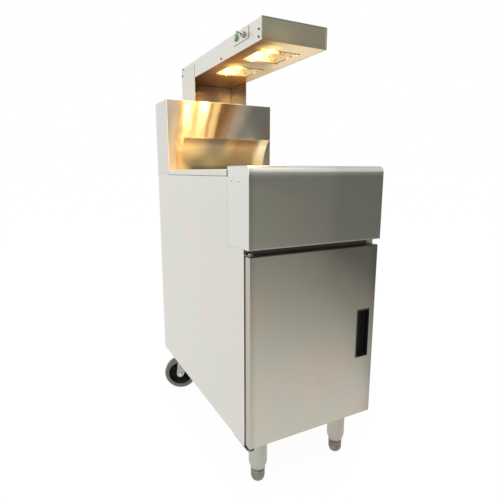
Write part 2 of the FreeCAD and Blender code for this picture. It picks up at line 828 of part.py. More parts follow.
def control_plate():
    """Thin plate on the head's left side that carries the pilot lamp and the switch."""
    plate = slab(-half_gantry - control_plate_thickness, -half_gantry, control_plate_front_y,
                 control_plate_rear_y, switch_point().z - control_plate_foot_margin, head_top_z - bend_radius)
    lower = [edge for edge in plate.Edges
             if abs(edge.tangentAt(edge.FirstParameter).x) > 0.5 and edge.CenterOfMass.z < switch_point().z]
    plate = plate.makeFillet(control_plate_corner, lower)
    out = V(-1, 0, 0)
    holes = [rod(pilot_point(), out, pilot_body_radius, overrun),
             rod(switch_point(), out, switch_bush_radius, overrun),
             screw_hole(plate_screw_point(), out)]
    return with_holes(plate, holes)


def pilot_body():
    """Pilot lamp: a bezel outside, and a round body that passes through plate and side."""
    out = control_plate_thickness
    profile = [(0, -pilot_body_depth), (pilot_body_radius, -pilot_body_depth), (pilot_body_radius, out),
               (pilot_bezel_radius, out), (pilot_bezel_radius, out + pilot_bezel_height / 2),
               (pilot_lens_radius, out + pilot_bezel_height), (0, out + pilot_bezel_height)]
    return revolved(profile, pilot_point(), V(-1, 0, 0))


def pilot_lens():
    """Domed lens on the bezel: a cap of a sphere."""
    base = control_plate_thickness + pilot_bezel_height
    top = base + pilot_dome_height
    sphere = (pilot_lens_radius ** 2 + pilot_dome_height ** 2) / (2 * pilot_dome_height)
    half_angle = math.asin(pilot_lens_radius / sphere) / 2
    way = (sphere * math.sin(half_angle), top - sphere + sphere * math.cos(half_angle))
    return revolved([(0, base), (pilot_lens_radius, base), (way, (0, top))], pilot_point(), V(-1, 0, 0))


def switch_body():
    """Switch: a moulded body inside the head and a bush through the side, bored for the lever."""
    centre = switch_point()
    x = -gantry_inner_x
    length = switch_bush_length + sheet
    start = V(x, centre.y, centre.z)
    body = slab(x, x + switch_body_depth, centre.y - switch_body_width / 2, centre.y + switch_body_width / 2,
                centre.z - switch_body_height / 2, centre.z + switch_body_height / 2)
    bush = rod(start, V(-1, 0, 0), switch_bush_radius, length)
    bore = rod(start, V(-1, 0, 0), lever_ball_radius + seat_gap, length + overrun)
    return body.fuse(bush).cut(bore).removeSplitter()


def switch_nut():
    """Nut that clamps the switch to the control plate."""
    base = switch_point() + V(-control_plate_thickness, 0, 0)
    nut = hexagon(base, V(-1, 0, 0), switch_nut_radius, switch_nut_height)
    return nut.cut(rod(base, V(-1, 0, 0), switch_bush_radius, switch_nut_height + overrun))


def lever_pivot():
    """Centre of the ball on which the lever turns, inside the bush."""
    return switch_point() + V(-switch_bush_length + lever_inset, 0, 0)


def toggle_lever():
    """Bat-shaped lever with a ball at its root, tilted up to its resting side."""
    ball = lever_ball_radius
    neck = (lever_neck_radius, math.sqrt(ball ** 2 - lever_neck_radius ** 2))
    diagonal = ball * math.sqrt(0.5)
    shoulder = (lever_tip_radius, lever_length - lever_tip_radius)
    tip = (0, lever_length)
    profile = [(0, -ball), ((diagonal, -diagonal), (ball, 0)), ((diagonal, diagonal), neck),
               (lever_neck_radius, lever_inset + ball), shoulder,
               quarter(shoulder, tip, (lever_tip_radius, lever_length))]
    tilt = math.radians(lever_tilt_angle)
    return revolved(profile, lever_pivot(), V(-math.cos(tilt), 0, math.sin(tilt)))


def pan_block(inset, floor_z, top_z):
    """The pan's hollow or outer form: narrower at the floor than at the rim, with round corners."""
    x = pan_half_width - inset
    front = pan_front_y + inset
    back = pan_rear_y - inset
    radius = pan_corner_radius - inset
    top = rounded_rectangle(-x, x, front, back, top_z, radius)
    bottom = rounded_rectangle(-x + pan_draft, x - pan_draft, front + pan_draft, back - pan_draft,
                               floor_z, radius)
    return Part.makeLoft([bottom, top], True, True)


def scoop_pan():
    """Lift-out pan: drafted walls, side rims that rest on the rails, and a back that curls forward."""
    top_z = pan_rim_z - pan_wall
    well = pan_block(pan_wall, pan_floor_z + pan_wall, pan_rim_z)
    body = pan_block(0, pan_floor_z, pan_rim_z).cut(well)
    rim = slab(-pan_half_width - pan_rim, pan_half_width + pan_rim, pan_front_y, pan_rear_y, top_z, pan_rim_z)
    rim = rim.cut(well)
    arc_z = pan_rim_z + scoop_back_rise
    outer = scoop_back_radius
    inner = outer - pan_wall
    centre_y = pan_rear_y - outer
    half = math.radians(scoop_back_angle / 2)
    full = math.radians(scoop_back_angle)

    def on_arc(radius, angle):
        return V(0, centre_y + radius * math.cos(angle), arc_z + radius * math.sin(angle))

    edges = [Part.makeLine(V(0, pan_rear_y, top_z), on_arc(outer, 0)),
             Part.Arc(on_arc(outer, 0), on_arc(outer, half), on_arc(outer, full)).toShape(),
             Part.makeLine(on_arc(outer, full), on_arc(inner, full)),
             Part.Arc(on_arc(inner, full), on_arc(inner, half), on_arc(inner, 0)).toShape(),
             Part.makeLine(on_arc(inner, 0), V(0, pan_rear_y - pan_wall, top_z)),
             Part.makeLine(V(0, pan_rear_y - pan_wall, top_z), V(0, pan_rear_y, top_z))]
    back = Part.Face(Part.Wire(edges)).extrude(V(2 * pan_half_width, 0, 0))
    back.translate(V(-pan_half_width, 0, 0))
    hem_centre = on_arc(inner, full)
    hem = rod(V(-pan_half_width, hem_centre.y, hem_centre.z), V(1, 0, 0),
              scoop_hem_radius, 2 * pan_half_width)
    return body.fuse([rim, back, hem]).removeSplitter()


def drain_plate():
    """Perforated false floor: a plate on turned-down edges, with round holes in staggered rows."""
    x = pan_half_width - pan_draft - pan_wall - drain_margin
    front = pan_front_y + pan_draft + pan_wall + drain_margin
    back = pan_rear_y - pan_draft - pan_wall - drain_margin
    low_z = pan_floor_z + pan_wall + seat_gap
    top_z = low_z + drain_foot
    outer = Part.Face(rounded_rectangle(-x, x, front, back, low_z, drain_corner_radius))
    wall = drain_wall
    inner = Part.Face(rounded_rectangle(-x + wall, x - wall, front + wall, back - wall, low_z,
                                        drain_corner_radius - wall))
    plate = outer.extrude(V(0, 0, drain_foot)).cut(inner.extrude(V(0, 0, drain_foot - wall)))
    rows = int((back - front - 2 * drain_edge) // (drain_hole_pitch * math.sqrt(0.75))) + 1
    row_step = (back - front - 2 * drain_edge) / (rows - 1)
    holes = []
    for row in range(rows):
        count = int((2 * x - 2 * drain_edge) // drain_hole_pitch) + 1 - row % 2
        y = front + drain_edge + row * row_step
        for i in range(count):
            hole_x = (i - (count - 1) / 2) * drain_hole_pitch
            start = V(hole_x, y, top_z - wall - overrun)
            holes.append(rod(start, V(0, 0, 1), drain_hole_radius, 2 * overrun))
    return plate.cut(holes)


def pocket_span():
    """The handle pocket's place in the door's front: left, right, bottom and top."""
    right = door_half_width - pocket_from_right_edge
    bottom = door_bottom_z + pocket_bottom_rise
    return right - pocket_width, right, bottom, bottom + pocket_height


def door_skin():
    """Door skin: a pressed tray with lips for the liner, the pocket's window and the bush holes."""
    low = V(-door_half_width, door_front_y, door_bottom_z)
    high = V(door_half_width, door_rear_y, door_top_z)
    tray = shell_box(low, high, ["y+"], radius=door_edge_radius)
    lip_rear = door_rear_y - sheet
    frame = slab(low.x + sheet, high.x - sheet, lip_rear - sheet, lip_rear, low.z + sheet, high.z - sheet)
    window = slab(low.x + door_lip, high.x - door_lip, lip_rear - overrun, lip_rear + overrun,
                  low.z + door_lip, high.z - door_lip)
    left, right, bottom, top = pocket_span()
    pocket_hole = slab(left, right, door_front_y - overrun, door_front_y + overrun, bottom, top)
    pin_hole = rod(V(hinge_x, hinge_y, low.z - overrun), V(0, 0, 1), bush_radius,
                   high.z - low.z + 2 * overrun)
    return with_holes(tray.fuse(frame.cut(window)), [pocket_hole, pin_hole])


def door_liner():
    """Flat inner panel of the door, on the skin's lips."""
    edge = door_half_width - sheet - running_gap / 2
    inset = sheet + running_gap / 2
    return slab(-edge, edge, door_rear_y - sheet, door_rear_y, door_bottom_z + inset, door_top_z - inset)


def handle_pocket():
    """Moulded finger pocket: a rim on the skin, a bevelled left side, and a deep box behind."""
    left, right, bottom, top = pocket_span()
    rim = slab(left - pocket_rim, right + pocket_rim, door_front_y - pocket_rim_height, door_front_y,
               bottom - pocket_rim, top + pocket_rim)
    corners = [edge for edge in rim.Edges if abs(edge.tangentAt(edge.FirstParameter).y) > 0.5]
    rim = rim.makeFillet(pocket_corner, corners)
    box = slab(left, right, door_front_y, door_front_y + pocket_depth, bottom, top)
    wall = pocket_wall
    floor_y = door_front_y + pocket_depth - wall
    mouth_y = door_front_y - overrun
    span = [V(left + wall, mouth_y, bottom + wall), V(right - wall, mouth_y, bottom + wall),
            V(right - wall, floor_y, bottom + wall), V(left + wall + pocket_bevel, floor_y, bottom + wall),
            V(left + wall, door_front_y, bottom + wall)]
    hollow = Part.Face(Part.makePolygon(span + span[:1])).extrude(V(0, 0, top - bottom - 2 * wall))
    return rim.fuse(box).cut(hollow).removeSplitter()


def door_bushes():
    """Bushes in the door's top and bottom edges; the lower one has a washer that carries the door."""
    bore = hinge_pin_radius + running_clearance
    length = bush_length
    top = rod(V(hinge_x, hinge_y, door_top_z - length), V(0, 0, 1), bush_radius, length)
    washer_height = door_bottom_gap - seat_gap
    low = V(hinge_x, hinge_y, door_bottom_z)
    bottom = rod(low, V(0, 0, 1), bush_radius, length)
    washer = rod(low - V(0, 0, washer_height), V(0, 0, 1), bush_washer_radius, washer_height)
    shaft = rod(V(hinge_x, hinge_y, leg_height - overrun), V(0, 0, 1), bore,
                door_top_z - leg_height + 2 * overrun)
    return Part.makeCompound([top.cut(shaft), bottom.fuse(washer).cut(shaft)])


def bracket_arm(low_z, back_y):
    """Flat hinge arm with a round end over the pivot, from the pivot back to a given depth."""
    right = hinge_x + bracket_end_radius - bracket_edge
    left = -half_width + bracket_edge
    arm = slab(left, right, hinge_y, back_y, low_z, low_z + bracket_thickness)
    end = rod(V(hinge_x, hinge_y, low_z), V(0, 0, 1), right - hinge_x, bracket_thickness)
    return arm.fuse(end).removeSplitter()


def hinge_bracket_top():
    """Upper hinge: the arm above the door and a tab on the side panel's front flange."""
    low_z = door_top_z + door_bottom_gap
    arm = bracket_arm(low_z, side_front_y)
    right = hinge_x + bracket_end_radius - bracket_edge
    tab = slab(-half_width + bracket_edge, right, side_front_y - bracket_thickness, side_front_y,
               low_z, low_z + bracket_tab_height)
    hole = rod(V(hinge_x, hinge_y, low_z - overrun), V(0, 0, 1), hinge_pin_radius,
               bracket_thickness + 2 * overrun)
    return with_holes(arm.fuse(tab), [hole])


def hinge_bracket_bottom():
    """Lower hinge: the arm under the door, screwed below the cupboard floor."""
    arm = bracket_arm(leg_height - bracket_thickness, side_front_y + bracket_tail)
    hole = rod(V(hinge_x, hinge_y, leg_height - bracket_thickness - overrun), V(0, 0, 1), hinge_pin_radius,
               bracket_thickness + 2 * overrun)
    return with_holes(arm, [hole])


def hinge_pins():
    """Pivot pins: each has its head outside the bracket and runs into the door's bush."""
    pins = []
    top_face = door_top_z + door_bottom_gap + bracket_thickness
    bottom_face = leg_height - bracket_thickness
    length = bracket_thickness + door_bottom_gap + hinge_pin_reach
    for z, along in [(top_face, V(0, 0, -1)), (bottom_face, V(0, 0, 1))]:
        start = V(hinge_x, hinge_y, z)
        head = rod(start, along * -1, hinge_pin_head_radius, hinge_pin_head_height)
        pins.append(rod(start, along, hinge_pin_radius, length).fuse(head).removeSplitter())
    return Part.makeCompound(pins)


def door_catch():
    """Magnetic catch under the cross rail, just behind the door's top edge."""
    top = door_top_z - cross_rail_below_door_top
    front = door_rear_y + strike_thickness + seat_gap
    return slab(-catch_offset - catch_width / 2, -catch_offset + catch_width / 2, front, front + catch_depth,
                top - catch_height, top)


def strike_plate():
    """Steel plate on the door's liner that the catch holds."""
    middle_z = door_top_z - cross_rail_below_door_top - catch_height / 2
    return slab(-catch_offset - strike_width / 2, -catch_offset + strike_width / 2, door_rear_y,
                door_rear_y + strike_thickness, middle_z - strike_height / 2, middle_z + strike_height / 2)


def leg_plate_bottom():
    """Height of the underside of the leg plates."""
    return leg_height - leg_plate_thickness


def leg_plate():
    """Right square plate that carries a leg."""
    half = leg_plate_size / 2
    plate = slab(leg_x - half, leg_x + half, leg_y - half, leg_y + half,
                 leg_plate_bottom(), leg_height)
    upright = [edge for edge in plate.Edges if abs(edge.tangentAt(edge.FirstParameter).z) > 0.5]
    return plate.makeFillet(bolt_head_radius, upright)


def leg_tube():
    """Right leg: a tube that tapers to a collar, threaded inside for the foot's stem."""
    top = leg_plate_bottom()
    collar_bottom = foot_height + seat_gap
    bore = foot_stem_radius + running_clearance
    wide = leg_tube_radius - leg_tube_wall
    outside = [(bore, collar_bottom), (leg_collar_radius, collar_bottom),
               (leg_collar_radius, leg_taper_bottom), (leg_tube_radius, leg_taper_top), (leg_tube_radius, top)]
    inside = [(wide, top), (wide, leg_taper_top), (bore, collar_bottom + leg_thread_length)]
    return revolved(outside + inside, V(leg_x, leg_y, 0), V(0, 0, 1))


def foot():
    """Right foot: a bullet with a round nose and a small flat, on a stem that screws into the leg."""
    flat = (foot_flat_radius, 0)
    side = (foot_radius, foot_round_height)
    stem_top = foot_height + foot_stem_length
    profile = [(0, 0), flat, quarter(flat, side, (foot_radius, 0)), (foot_radius, foot_height),
               (foot_stem_radius, foot_height), (foot_stem_radius, stem_top), (0, stem_top)]
    return revolved(profile, V(leg_x, leg_y, 0), V(0, 0, 1))


def castor_centre():
    """Swivel axis of the right castor, on the floor."""
    return V(castor_x, castor_y, 0)


def trail_direction():
    """The way the right castor's fork points, from its swivel axis to its wheel."""
    turn = math.radians(castor_turn_angle)
    return V(math.cos(turn), math.sin(turn), 0)


def placed_castor(piece):
    """A castor piece, drawn with its fork along X, turned and moved to its place."""
    piece.rotate(V(0, 0, 0), V(0, 0, 1), castor_turn_angle)
    piece.translate(castor_centre())
    return piece


def castor_plate():
    """Mounting plate of the right castor with its pressed ball race."""
    x = castor_plate_length / 2
    y = castor_plate_width / 2
    bottom = castor_plate_bottom_z
    plate = slab(-x, x, -y, y, bottom, leg_height)
    upright = [edge for edge in plate.Edges if abs(edge.tangentAt(edge.FirstParameter).z) > 0.5]
    plate = plate.makeFillet(bolt_head_radius, upright)
    inner = castor_race_radius - castor_race_wall
    race_bottom = bottom - castor_race_height
    race = [(inner, bottom), (inner, race_bottom), (castor_race_radius, race_bottom),
            (castor_race_radius + castor_race_wall / 2, bottom)]
    plate = plate.fuse(revolved(race, V(0, 0, 0), V(0, 0, 1)))
    plate.translate(castor_centre())
    return with_holes(plate, [rod(castor_centre() + V(0, 0, bottom - overrun), V(0, 0, 1), king_pin_radius,
                                  castor_plate_thickness + 2 * overrun)])


def king_pin():
    """Right king pin: it hangs from the plate and its nut holds the fork's crown."""
    low = castor_crown_top_z - fork_sheet - seat_gap
    pin = rod(castor_centre() + V(0, 0, low), V(0, 0, 1), king_pin_radius, leg_height - low)
    nut = rod(castor_centre() + V(0, 0, low - king_nut_height), V(0, 0, 1), king_nut_radius, king_nut_height)
    return pin.fuse(nut).removeSplitter()


def tangent_point(point, centre, radius, side):
    """Where the line from a point touches a circle, on the chosen side; both lie in the XZ plane."""
    away = point - centre
    distance = away.Length
    angle = math.atan2(away.z, away.x) + side * math.acos(radius / distance)
    return centre + V(radius * math.cos(angle), 0, radius * math.sin(angle))


def fork_ear(y):
    """One fork ear: a plate from the crown that narrows to a round end about the axle."""
    axle = V(castor_trail, 0, wheel_radius)
    top = castor_crown_top_z
    front = V(-castor_crown_radius * crown_front_share, 0, top)
    back = V(castor_crown_radius, 0, top)
    front_touch = tangent_point(front, axle, fork_ear_radius, 1)
    back_touch = tangent_point(back, axle, fork_ear_radius, -1)
    bottom = axle + (axle - (front + back) * 0.5).normalize() * fork_ear_radius
    edges = [Part.makeLine(back, front), Part.makeLine(front, front_touch),
             Part.Arc(front_touch, bottom, back_touch).toShape(), Part.makeLine(back_touch, back)]
    ear = Part.Face(Part.Wire(edges)).extrude(V(0, fork_sheet, 0))
    ear.translate(V(0, y, 0))
    return ear


def castor_fork():
    """Pressed fork: a round crown under the race and two ears down to the axle."""
    inside = hub_boss_length / 2 + seat_gap
    crown = rod(V(0, 0, castor_crown_top_z - fork_sheet), V(0, 0, 1), castor_crown_radius, fork_sheet)
    outside = inside + fork_sheet
    ears = [fork_ear(inside), fork_ear(-outside)]
    reach = slab(-castor_crown_radius * crown_front_share, castor_crown_radius, -outside, outside,
                 castor_crown_top_z - fork_sheet, castor_crown_top_z)
    fork = crown.fuse(ears + [reach])
    pin_hole = rod(V(0, 0, 0), V(0, 0, 1), king_pin_radius + running_clearance, leg_height)
    axle_hole = rod(V(castor_trail, -hub_boss_length, wheel_radius), V(0, 1, 0),
                    axle_radius, 2 * hub_boss_length)
    return placed_castor(with_holes(fork, [pin_hole, axle_hole]))


def castor_axle():
    """Axle bolt with its head and nut outside the fork's ears."""
    outside = hub_boss_length / 2 + seat_gap + fork_sheet
    shaft = rod(V(castor_trail, -outside, wheel_radius), V(0, 1, 0), axle_radius, 2 * outside)
    head = hexagon(V(castor_trail, -outside, wheel_radius), V(0, -1, 0), axle_nut_radius, axle_nut_height)
    nut = hexagon(V(castor_trail, outside, wheel_radius), V(0, 1, 0), axle_nut_radius, axle_nut_height)
    return placed_castor(shaft.fuse([head, nut]).removeSplitter())


def wheel_piece(profile):
    """A wheel part turned about the axle from radius and offset pairs."""
    return placed_castor(revolved(profile, V(castor_trail, 0, wheel_radius), V(0, 1, 0)))


def castor_hub():
    """Moulded wheel centre: a boss on the axle, a dished web, and a seat for the tyre."""
    bore = axle_radius + running_clearance
    boss = hub_boss_length / 2
    web = hub_web / 2
    seat = wheel_radius - tyre_depth
    rim = seat - hub_rim
    half = wheel_width / 2
    right = [(bore, boss), (hub_boss_radius, boss), (hub_boss_radius + sheet, web), (rim - sheet, web),
             (rim, half), (seat, half)]
    return wheel_piece([(r, -y) for r, y in right] + right[::-1])


def castor_tyre():
    """Tyre band on the hub, with rounded shoulders."""
    seat = wheel_radius - tyre_depth
    half = wheel_width / 2
    crest = wheel_radius - tyre_round
    tread = half - tyre_round
    lower = quarter((crest, -half), (wheel_radius, -tread), (wheel_radius, -half))
    upper = quarter((wheel_radius, tread), (crest, half), (wheel_radius, half))
    return wheel_piece([(seat, -half), (crest, -half), lower, (wheel_radius, tread), upper, (seat, half)])


def cable_gland():
    """Cable gland through the cupboard floor, its mouth facing down, with a locknut above."""
    place = V(0, gland_y, leg_height)
    down = V(0, 0, -1)
    hexes = hexagon(place, down, gland_hex_radius, gland_hex_height)
    dome = Part.makeCone(gland_dome_radius, gland_dome_radius * gland_taper_share, gland_dome_height,
                         place + down * gland_hex_height, down)
    thread = rod(place, V(0, 0, 1), gland_thread_radius, sheet + gland_locknut_height + sheet)
    nut = hexagon(place + V(0, 0, sheet), V(0, 0, 1), gland_hex_radius, gland_locknut_height)
    bore = rod(place + V(0, 0, -base_flange), V(0, 0, 1), gland_bore_radius, 2 * base_flange)
    return hexes.fuse([dome, thread, nut]).cut(bore).removeSplitter()


def cable_conduit():
    """Cable duct up the inside of the back panel, from the cupboard floor into the splashback."""
    half = conduit_width / 2
    back = rear_y - 2 * sheet
    low_z = leg_height + base_flange
    front = back - conduit_depth
    line = [V(-half, back, low_z), V(-half, front, low_z), V(half, front, low_z), V(half, back, low_z)]
    return folded_section(line, V(0, 0, 1)).extrude(V(0, 0, side_top_z - low_z))


def terminal_block():
    """Terminal block on the back of the column's web."""
    front = column_web_y + sheet
    low_z = splash_top_z + terminal_rise
    block = slab(-terminal_width / 2, terminal_width / 2, front, front + terminal_depth,
                 low_z, low_z + terminal_height)
    long_edges = [edge for edge in block.Edges if abs(edge.tangentAt(edge.FirstParameter).x) > 0.5
                  and edge.CenterOfMass.y > front + sheet]
    return block.makeChamfer(terminal_chamfer, long_edges)


def side_screws():
    """Screws of the fascia, the splashback and the head, on both sides."""
    points = fascia_screw_points() + splash_screw_points() + head_screw_points()
    return both_sides([screw(place, V(1, 0, 0)) for place in points])


def rear_screws():
    """Screw heads on the side panels' rear flanges and on both rear covers."""
    out = V(0, 1, 0)
    points = []
    low_z = leg_height + base_flange + rear_screw_inset
    for share in back_screw_shares:
        z = low_z + share * (side_top_z - rear_screw_inset - sheet - low_z)
        points.append(V(half_width - rear_flange / 2, rear_y, z))
    for share in cover_screw_shares:
        z = side_top_z + share * splash_height
        points.append(V(half_width - splash_rear_flange / 2 - sheet, rear_y, z))
        z = splash_top_z + share * (column_top_z - splash_top_z)
        points.append(V(gantry_inner_x - column_flange / 2, rear_y, z))
    top_radius = screw_head_radius * head_taper_share
    heads = [Part.makeCone(screw_head_radius, top_radius, screw_head_height, place, out) for place in points]
    return both_sides(heads)


def hex_bolts(centre, spread_x, spread_y, z):
    """Four bolt heads under a plate, at the corners of a rectangle about its centre."""
    heads = []
    for dx in [-spread_x, spread_x]:
        for dy in [-spread_y, spread_y]:
            place = V(centre.x + dx, centre.y + dy, z)
            heads.append(hexagon(place, V(0, 0, -1), bolt_head_radius, bolt_head_height))
    return heads


def leg_bolts():
    """Bolt heads under both leg plates."""
    spread = leg_plate_size / 2 - bolt_head_radius - sheet
    return both_sides(hex_bolts(V(leg_x, leg_y, 0), spread, spread, leg_plate_bottom()))


def castor_bolts():
    """Bolt heads under both castor plates, outside the circle that the fork's crown sweeps."""
    spread_x = castor_plate_length / 2 - bolt_inset
    spread_y = castor_plate_width / 2 - bolt_inset
    return both_sides(hex_bolts(castor_centre(), spread_x, spread_y, castor_plate_bottom_z))


def hinge_screws():
    """Screws in the tab of the top bracket and under the tail of the bottom bracket."""
    tab_z = door_top_z + door_bottom_gap + bracket_thickness + (bracket_tab_height - bracket_thickness) / 2
    pieces = []
    for sign in [-1, 1]:
        place = V(hinge_x + sign * hinge_pin_head_radius, side_front_y - bracket_thickness, tab_z)
        pieces.append(rod(place, V(0, -1, 0), small_screw_head_radius, screw_head_height))
        tail_y = side_front_y + bracket_tail / 2 + sign * bracket_tail / 4
        place = V(hinge_x, tail_y, leg_height - bracket_thickness)
        pieces.append(rod(place, V(0, 0, -1), small_screw_head_radius, screw_head_height))
    return pieces


def pieces():
    """Every node's name and shape."""
    rail = pan_rail()
    side = side_panel()
    angle = splash_angle()
    arm = gantry_arm()
    tube = leg_tube()
    right_foot = foot()
    plate = castor_plate()
    fork = castor_fork()
    axle = castor_axle()
    hub = castor_hub()
    tyre = castor_tyre()
    plate_screw = screw(plate_screw_point(), V(-1, 0, 0), small_screw_head_radius)
    return {
        "side_panel_left": mirrored(side),
        "side_panel_right": side,
        "base_panel": base_panel(),
        "back_panel": back_panel(),
        "cross_rail": cross_rail(),
        "fascia_panel": fascia_panel(),
        "pan_rail_left": mirrored(rail),
        "pan_rail_right": rail,
        "pan_rail_rear": rear_rail(),
        "splash_panel": splash_panel(),
        "splash_angles": Part.makeCompound([mirrored(angle), angle]),
        "splash_rear_cover": splash_rear_cover(),
        "gantry_column": gantry_column(),
        "gantry_arms": Part.makeCompound([mirrored(arm), arm]),
        "column_rear_cover": column_rear_cover(),
        "head_cover": head_cover(),
        "head_nose": head_nose(),
        "head_base_plate": head_base_plate(),
        "reflector_front": reflector(lamp_centres_y[0]),
        "reflector_rear": reflector(lamp_centres_y[1]),
        "lamp_holders": lamp_holders(),
        "quartz_tubes": quartz_tubes(),
        "lamp_caps": lamp_caps(),
        "control_plate": control_plate(),
        "pilot_body": pilot_body(),
        "pilot_lens": pilot_lens(),
        "switch_body": switch_body(),
        "switch_nut": switch_nut(),
        "toggle_lever": toggle_lever(),
        "terminal_block": terminal_block(),
        "cable_conduit": cable_conduit(),
        "cable_gland": cable_gland(),
        "scoop_pan": scoop_pan(),
        "drain_plate": drain_plate(),
        "door_skin": door_skin(),
        "door_liner": door_liner(),
        "handle_pocket": handle_pocket(),
        "door_bushes": door_bushes(),
        "strike_plate": strike_plate(),
        "hinge_bracket_top": hinge_bracket_top(),
        "hinge_bracket_bottom": hinge_bracket_bottom(),
        "hinge_pins": hinge_pins(),
        "small_screws": Part.makeCompound(hinge_screws() + [plate_screw]),
        "door_catch": door_catch(),
        "leg_plates": Part.makeCompound(both_sides([leg_plate()])),
        "leg_tubes": Part.makeCompound([mirrored(tube), tube]),
        "plate_bolts": Part.makeCompound(leg_bolts() + castor_bolts()),
        "foot_left": mirrored(right_foot),
        "foot_right": right_foot,
        "castor_plates": Part.makeCompound([mirrored(plate), plate]),
        "king_pins": Part.makeCompound(both_sides([king_pin()])),
        "castor_fork_left": mirrored(fork),
        "castor_fork_right": fork,
        "castor_axle_left": mirrored(axle),
        "castor_axle_right": axle,
        "castor_hub_left": mirrored(hub),
        "castor_hub_right": hub,
        "castor_tyre_left": mirrored(tyre),
        "castor_tyre_right": tyre,
        "panel_screws": Part.makeCompound(side_screws() + rear_screws()),
    }


for name, shape in pieces().items():
    shape.exportStep("parts/" + name + ".step")
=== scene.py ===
"""Chip warmer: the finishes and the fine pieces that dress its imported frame."""
import json
import math

import bmesh
import bpy
import numpy as np
from bpy.props import FloatProperty, FloatVectorProperty, IntProperty, PointerProperty
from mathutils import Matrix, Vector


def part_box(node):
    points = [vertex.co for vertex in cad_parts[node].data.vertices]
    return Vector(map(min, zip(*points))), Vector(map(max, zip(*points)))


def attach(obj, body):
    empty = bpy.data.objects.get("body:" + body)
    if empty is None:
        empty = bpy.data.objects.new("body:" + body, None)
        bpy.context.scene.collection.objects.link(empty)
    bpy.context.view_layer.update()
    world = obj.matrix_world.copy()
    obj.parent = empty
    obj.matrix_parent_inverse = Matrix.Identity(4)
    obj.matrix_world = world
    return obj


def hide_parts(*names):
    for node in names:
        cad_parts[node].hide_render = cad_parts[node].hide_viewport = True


bl_info = {
    "name": "Chip warmer",
    "version": (1, 0, 0),
    "blender": (4, 5, 0),
    "location": "3D View > Sidebar > Chip warmer",
    "description": "Dresses the chip warmer's frame with finishes and fine pieces",
    "category": "Object",
}

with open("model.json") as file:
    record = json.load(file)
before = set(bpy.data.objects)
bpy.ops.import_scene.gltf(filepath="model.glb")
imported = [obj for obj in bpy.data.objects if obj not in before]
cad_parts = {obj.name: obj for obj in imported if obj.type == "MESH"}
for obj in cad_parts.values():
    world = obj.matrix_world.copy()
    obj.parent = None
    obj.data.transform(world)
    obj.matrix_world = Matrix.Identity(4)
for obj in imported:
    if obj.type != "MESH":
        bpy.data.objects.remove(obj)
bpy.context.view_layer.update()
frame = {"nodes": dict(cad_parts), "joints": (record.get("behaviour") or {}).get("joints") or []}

# The object's front looks along -y, and its left side along -x.
ORIGIN = (0.0, 0.0, 0.0)
LEFT, RIGHT = (-1.0, 0.0, 0.0), (1.0, 0.0, 0.0)
FORWARD, BACKWARD = (0.0, -1.0, 0.0), (0.0, 1.0, 0.0)
DOWN, UP = (0.0, 0.0, -1.0), (0.0, 0.0, 1.0)


# ---------------------------------------------------------------- sizes and colours

class ChipWarmerSizes(bpy.types.PropertyGroup):
    """Sizes of the fine pieces, where the frame doesn't give them."""

    recess_depth: FloatProperty(
        name="Screw recess", description="Depth of the cross recess in a screw's head",
        default=0.0009, min=0.0, unit="LENGTH")
    lens_ribs: IntProperty(
        name="Lens ribs", description="Fine ribs round the pilot lens", default=24, min=0)
    tube_wall: FloatProperty(
        name="Tube wall", description="Wall of a lamp's quartz tube", default=0.001, unit="LENGTH")
    filament_radius: FloatProperty(
        name="Filament radius", description="Radius of the filament's coil", default=0.0017, unit="LENGTH")
    filament_wire: FloatProperty(
        name="Filament wire", description="Radius of the filament's wire", default=0.00035, unit="LENGTH")
    filament_turns: IntProperty(
        name="Filament turns", description="Turns of one lamp's coil", default=44, min=2)
    pocket_edge: FloatProperty(
        name="Pocket edge", description="Rounding of the handle pocket's moulded edges",
        default=0.0009, unit="LENGTH")
    leg_edge: FloatProperty(
        name="Leg edge", description="Rounding where a leg tapers", default=0.007, unit="LENGTH")
    foot_grooves: IntProperty(
        name="Foot grooves", description="Grip grooves round a foot", default=30, min=0)
    wheel_spokes: IntProperty(
        name="Wheel ribs", description="Ribs moulded on each side of a wheel's web", default=8, min=0)


class ChipWarmerFinish(bpy.types.PropertyGroup):
    """Colours of the finishes, in linear light."""

    side_steel: FloatVectorProperty(
        name="Side steel", description="Stainless steel of the sides and the head", subtype="COLOR",
        default=(0.785, 0.782, 0.755), min=0.0, max=1.0)
    front_steel: FloatVectorProperty(
        name="Front steel", description="Stainless steel of the fascia and the head's front", subtype="COLOR",
        default=(0.76, 0.75, 0.70), min=0.0, max=1.0)
    door_steel: FloatVectorProperty(
        name="Door steel", description="Stainless steel of the door", subtype="COLOR",
        default=(0.74, 0.70, 0.65), min=0.0, max=1.0)
    dull_steel: FloatVectorProperty(
        name="Plated steel", description="Zinc-plated brackets, forks and bolts", subtype="COLOR",
        default=(0.62, 0.61, 0.58), min=0.0, max=1.0)
    black_plastic: FloatVectorProperty(
        name="Black plastic", description="Moulded pocket, hub and gland", subtype="COLOR",
        default=(0.006, 0.006, 0.0055), min=0.0, max=1.0)
    tyre_rubber: FloatVectorProperty(
        name="Tyre", description="Grey rubber of the tyres", subtype="COLOR",
        default=(0.17, 0.172, 0.155), min=0.0, max=1.0)
    lens_green: FloatVectorProperty(
        name="Pilot lens", description="Green of the pilot lens", subtype="COLOR",
        default=(0.01, 0.34, 0.10), min=0.0, max=1.0)
    ceramic: FloatVectorProperty(
        name="Ceramic", description="Lamp holders and caps", subtype="COLOR",
        default=(0.78, 0.75, 0.68), min=0.0, max=1.0)
    lamp_glow: FloatVectorProperty(
        name="Lamp glow", description="Colour of the lamps' light", subtype="COLOR",
        default=(1.0, 0.66, 0.30), min=0.0, max=1.0)


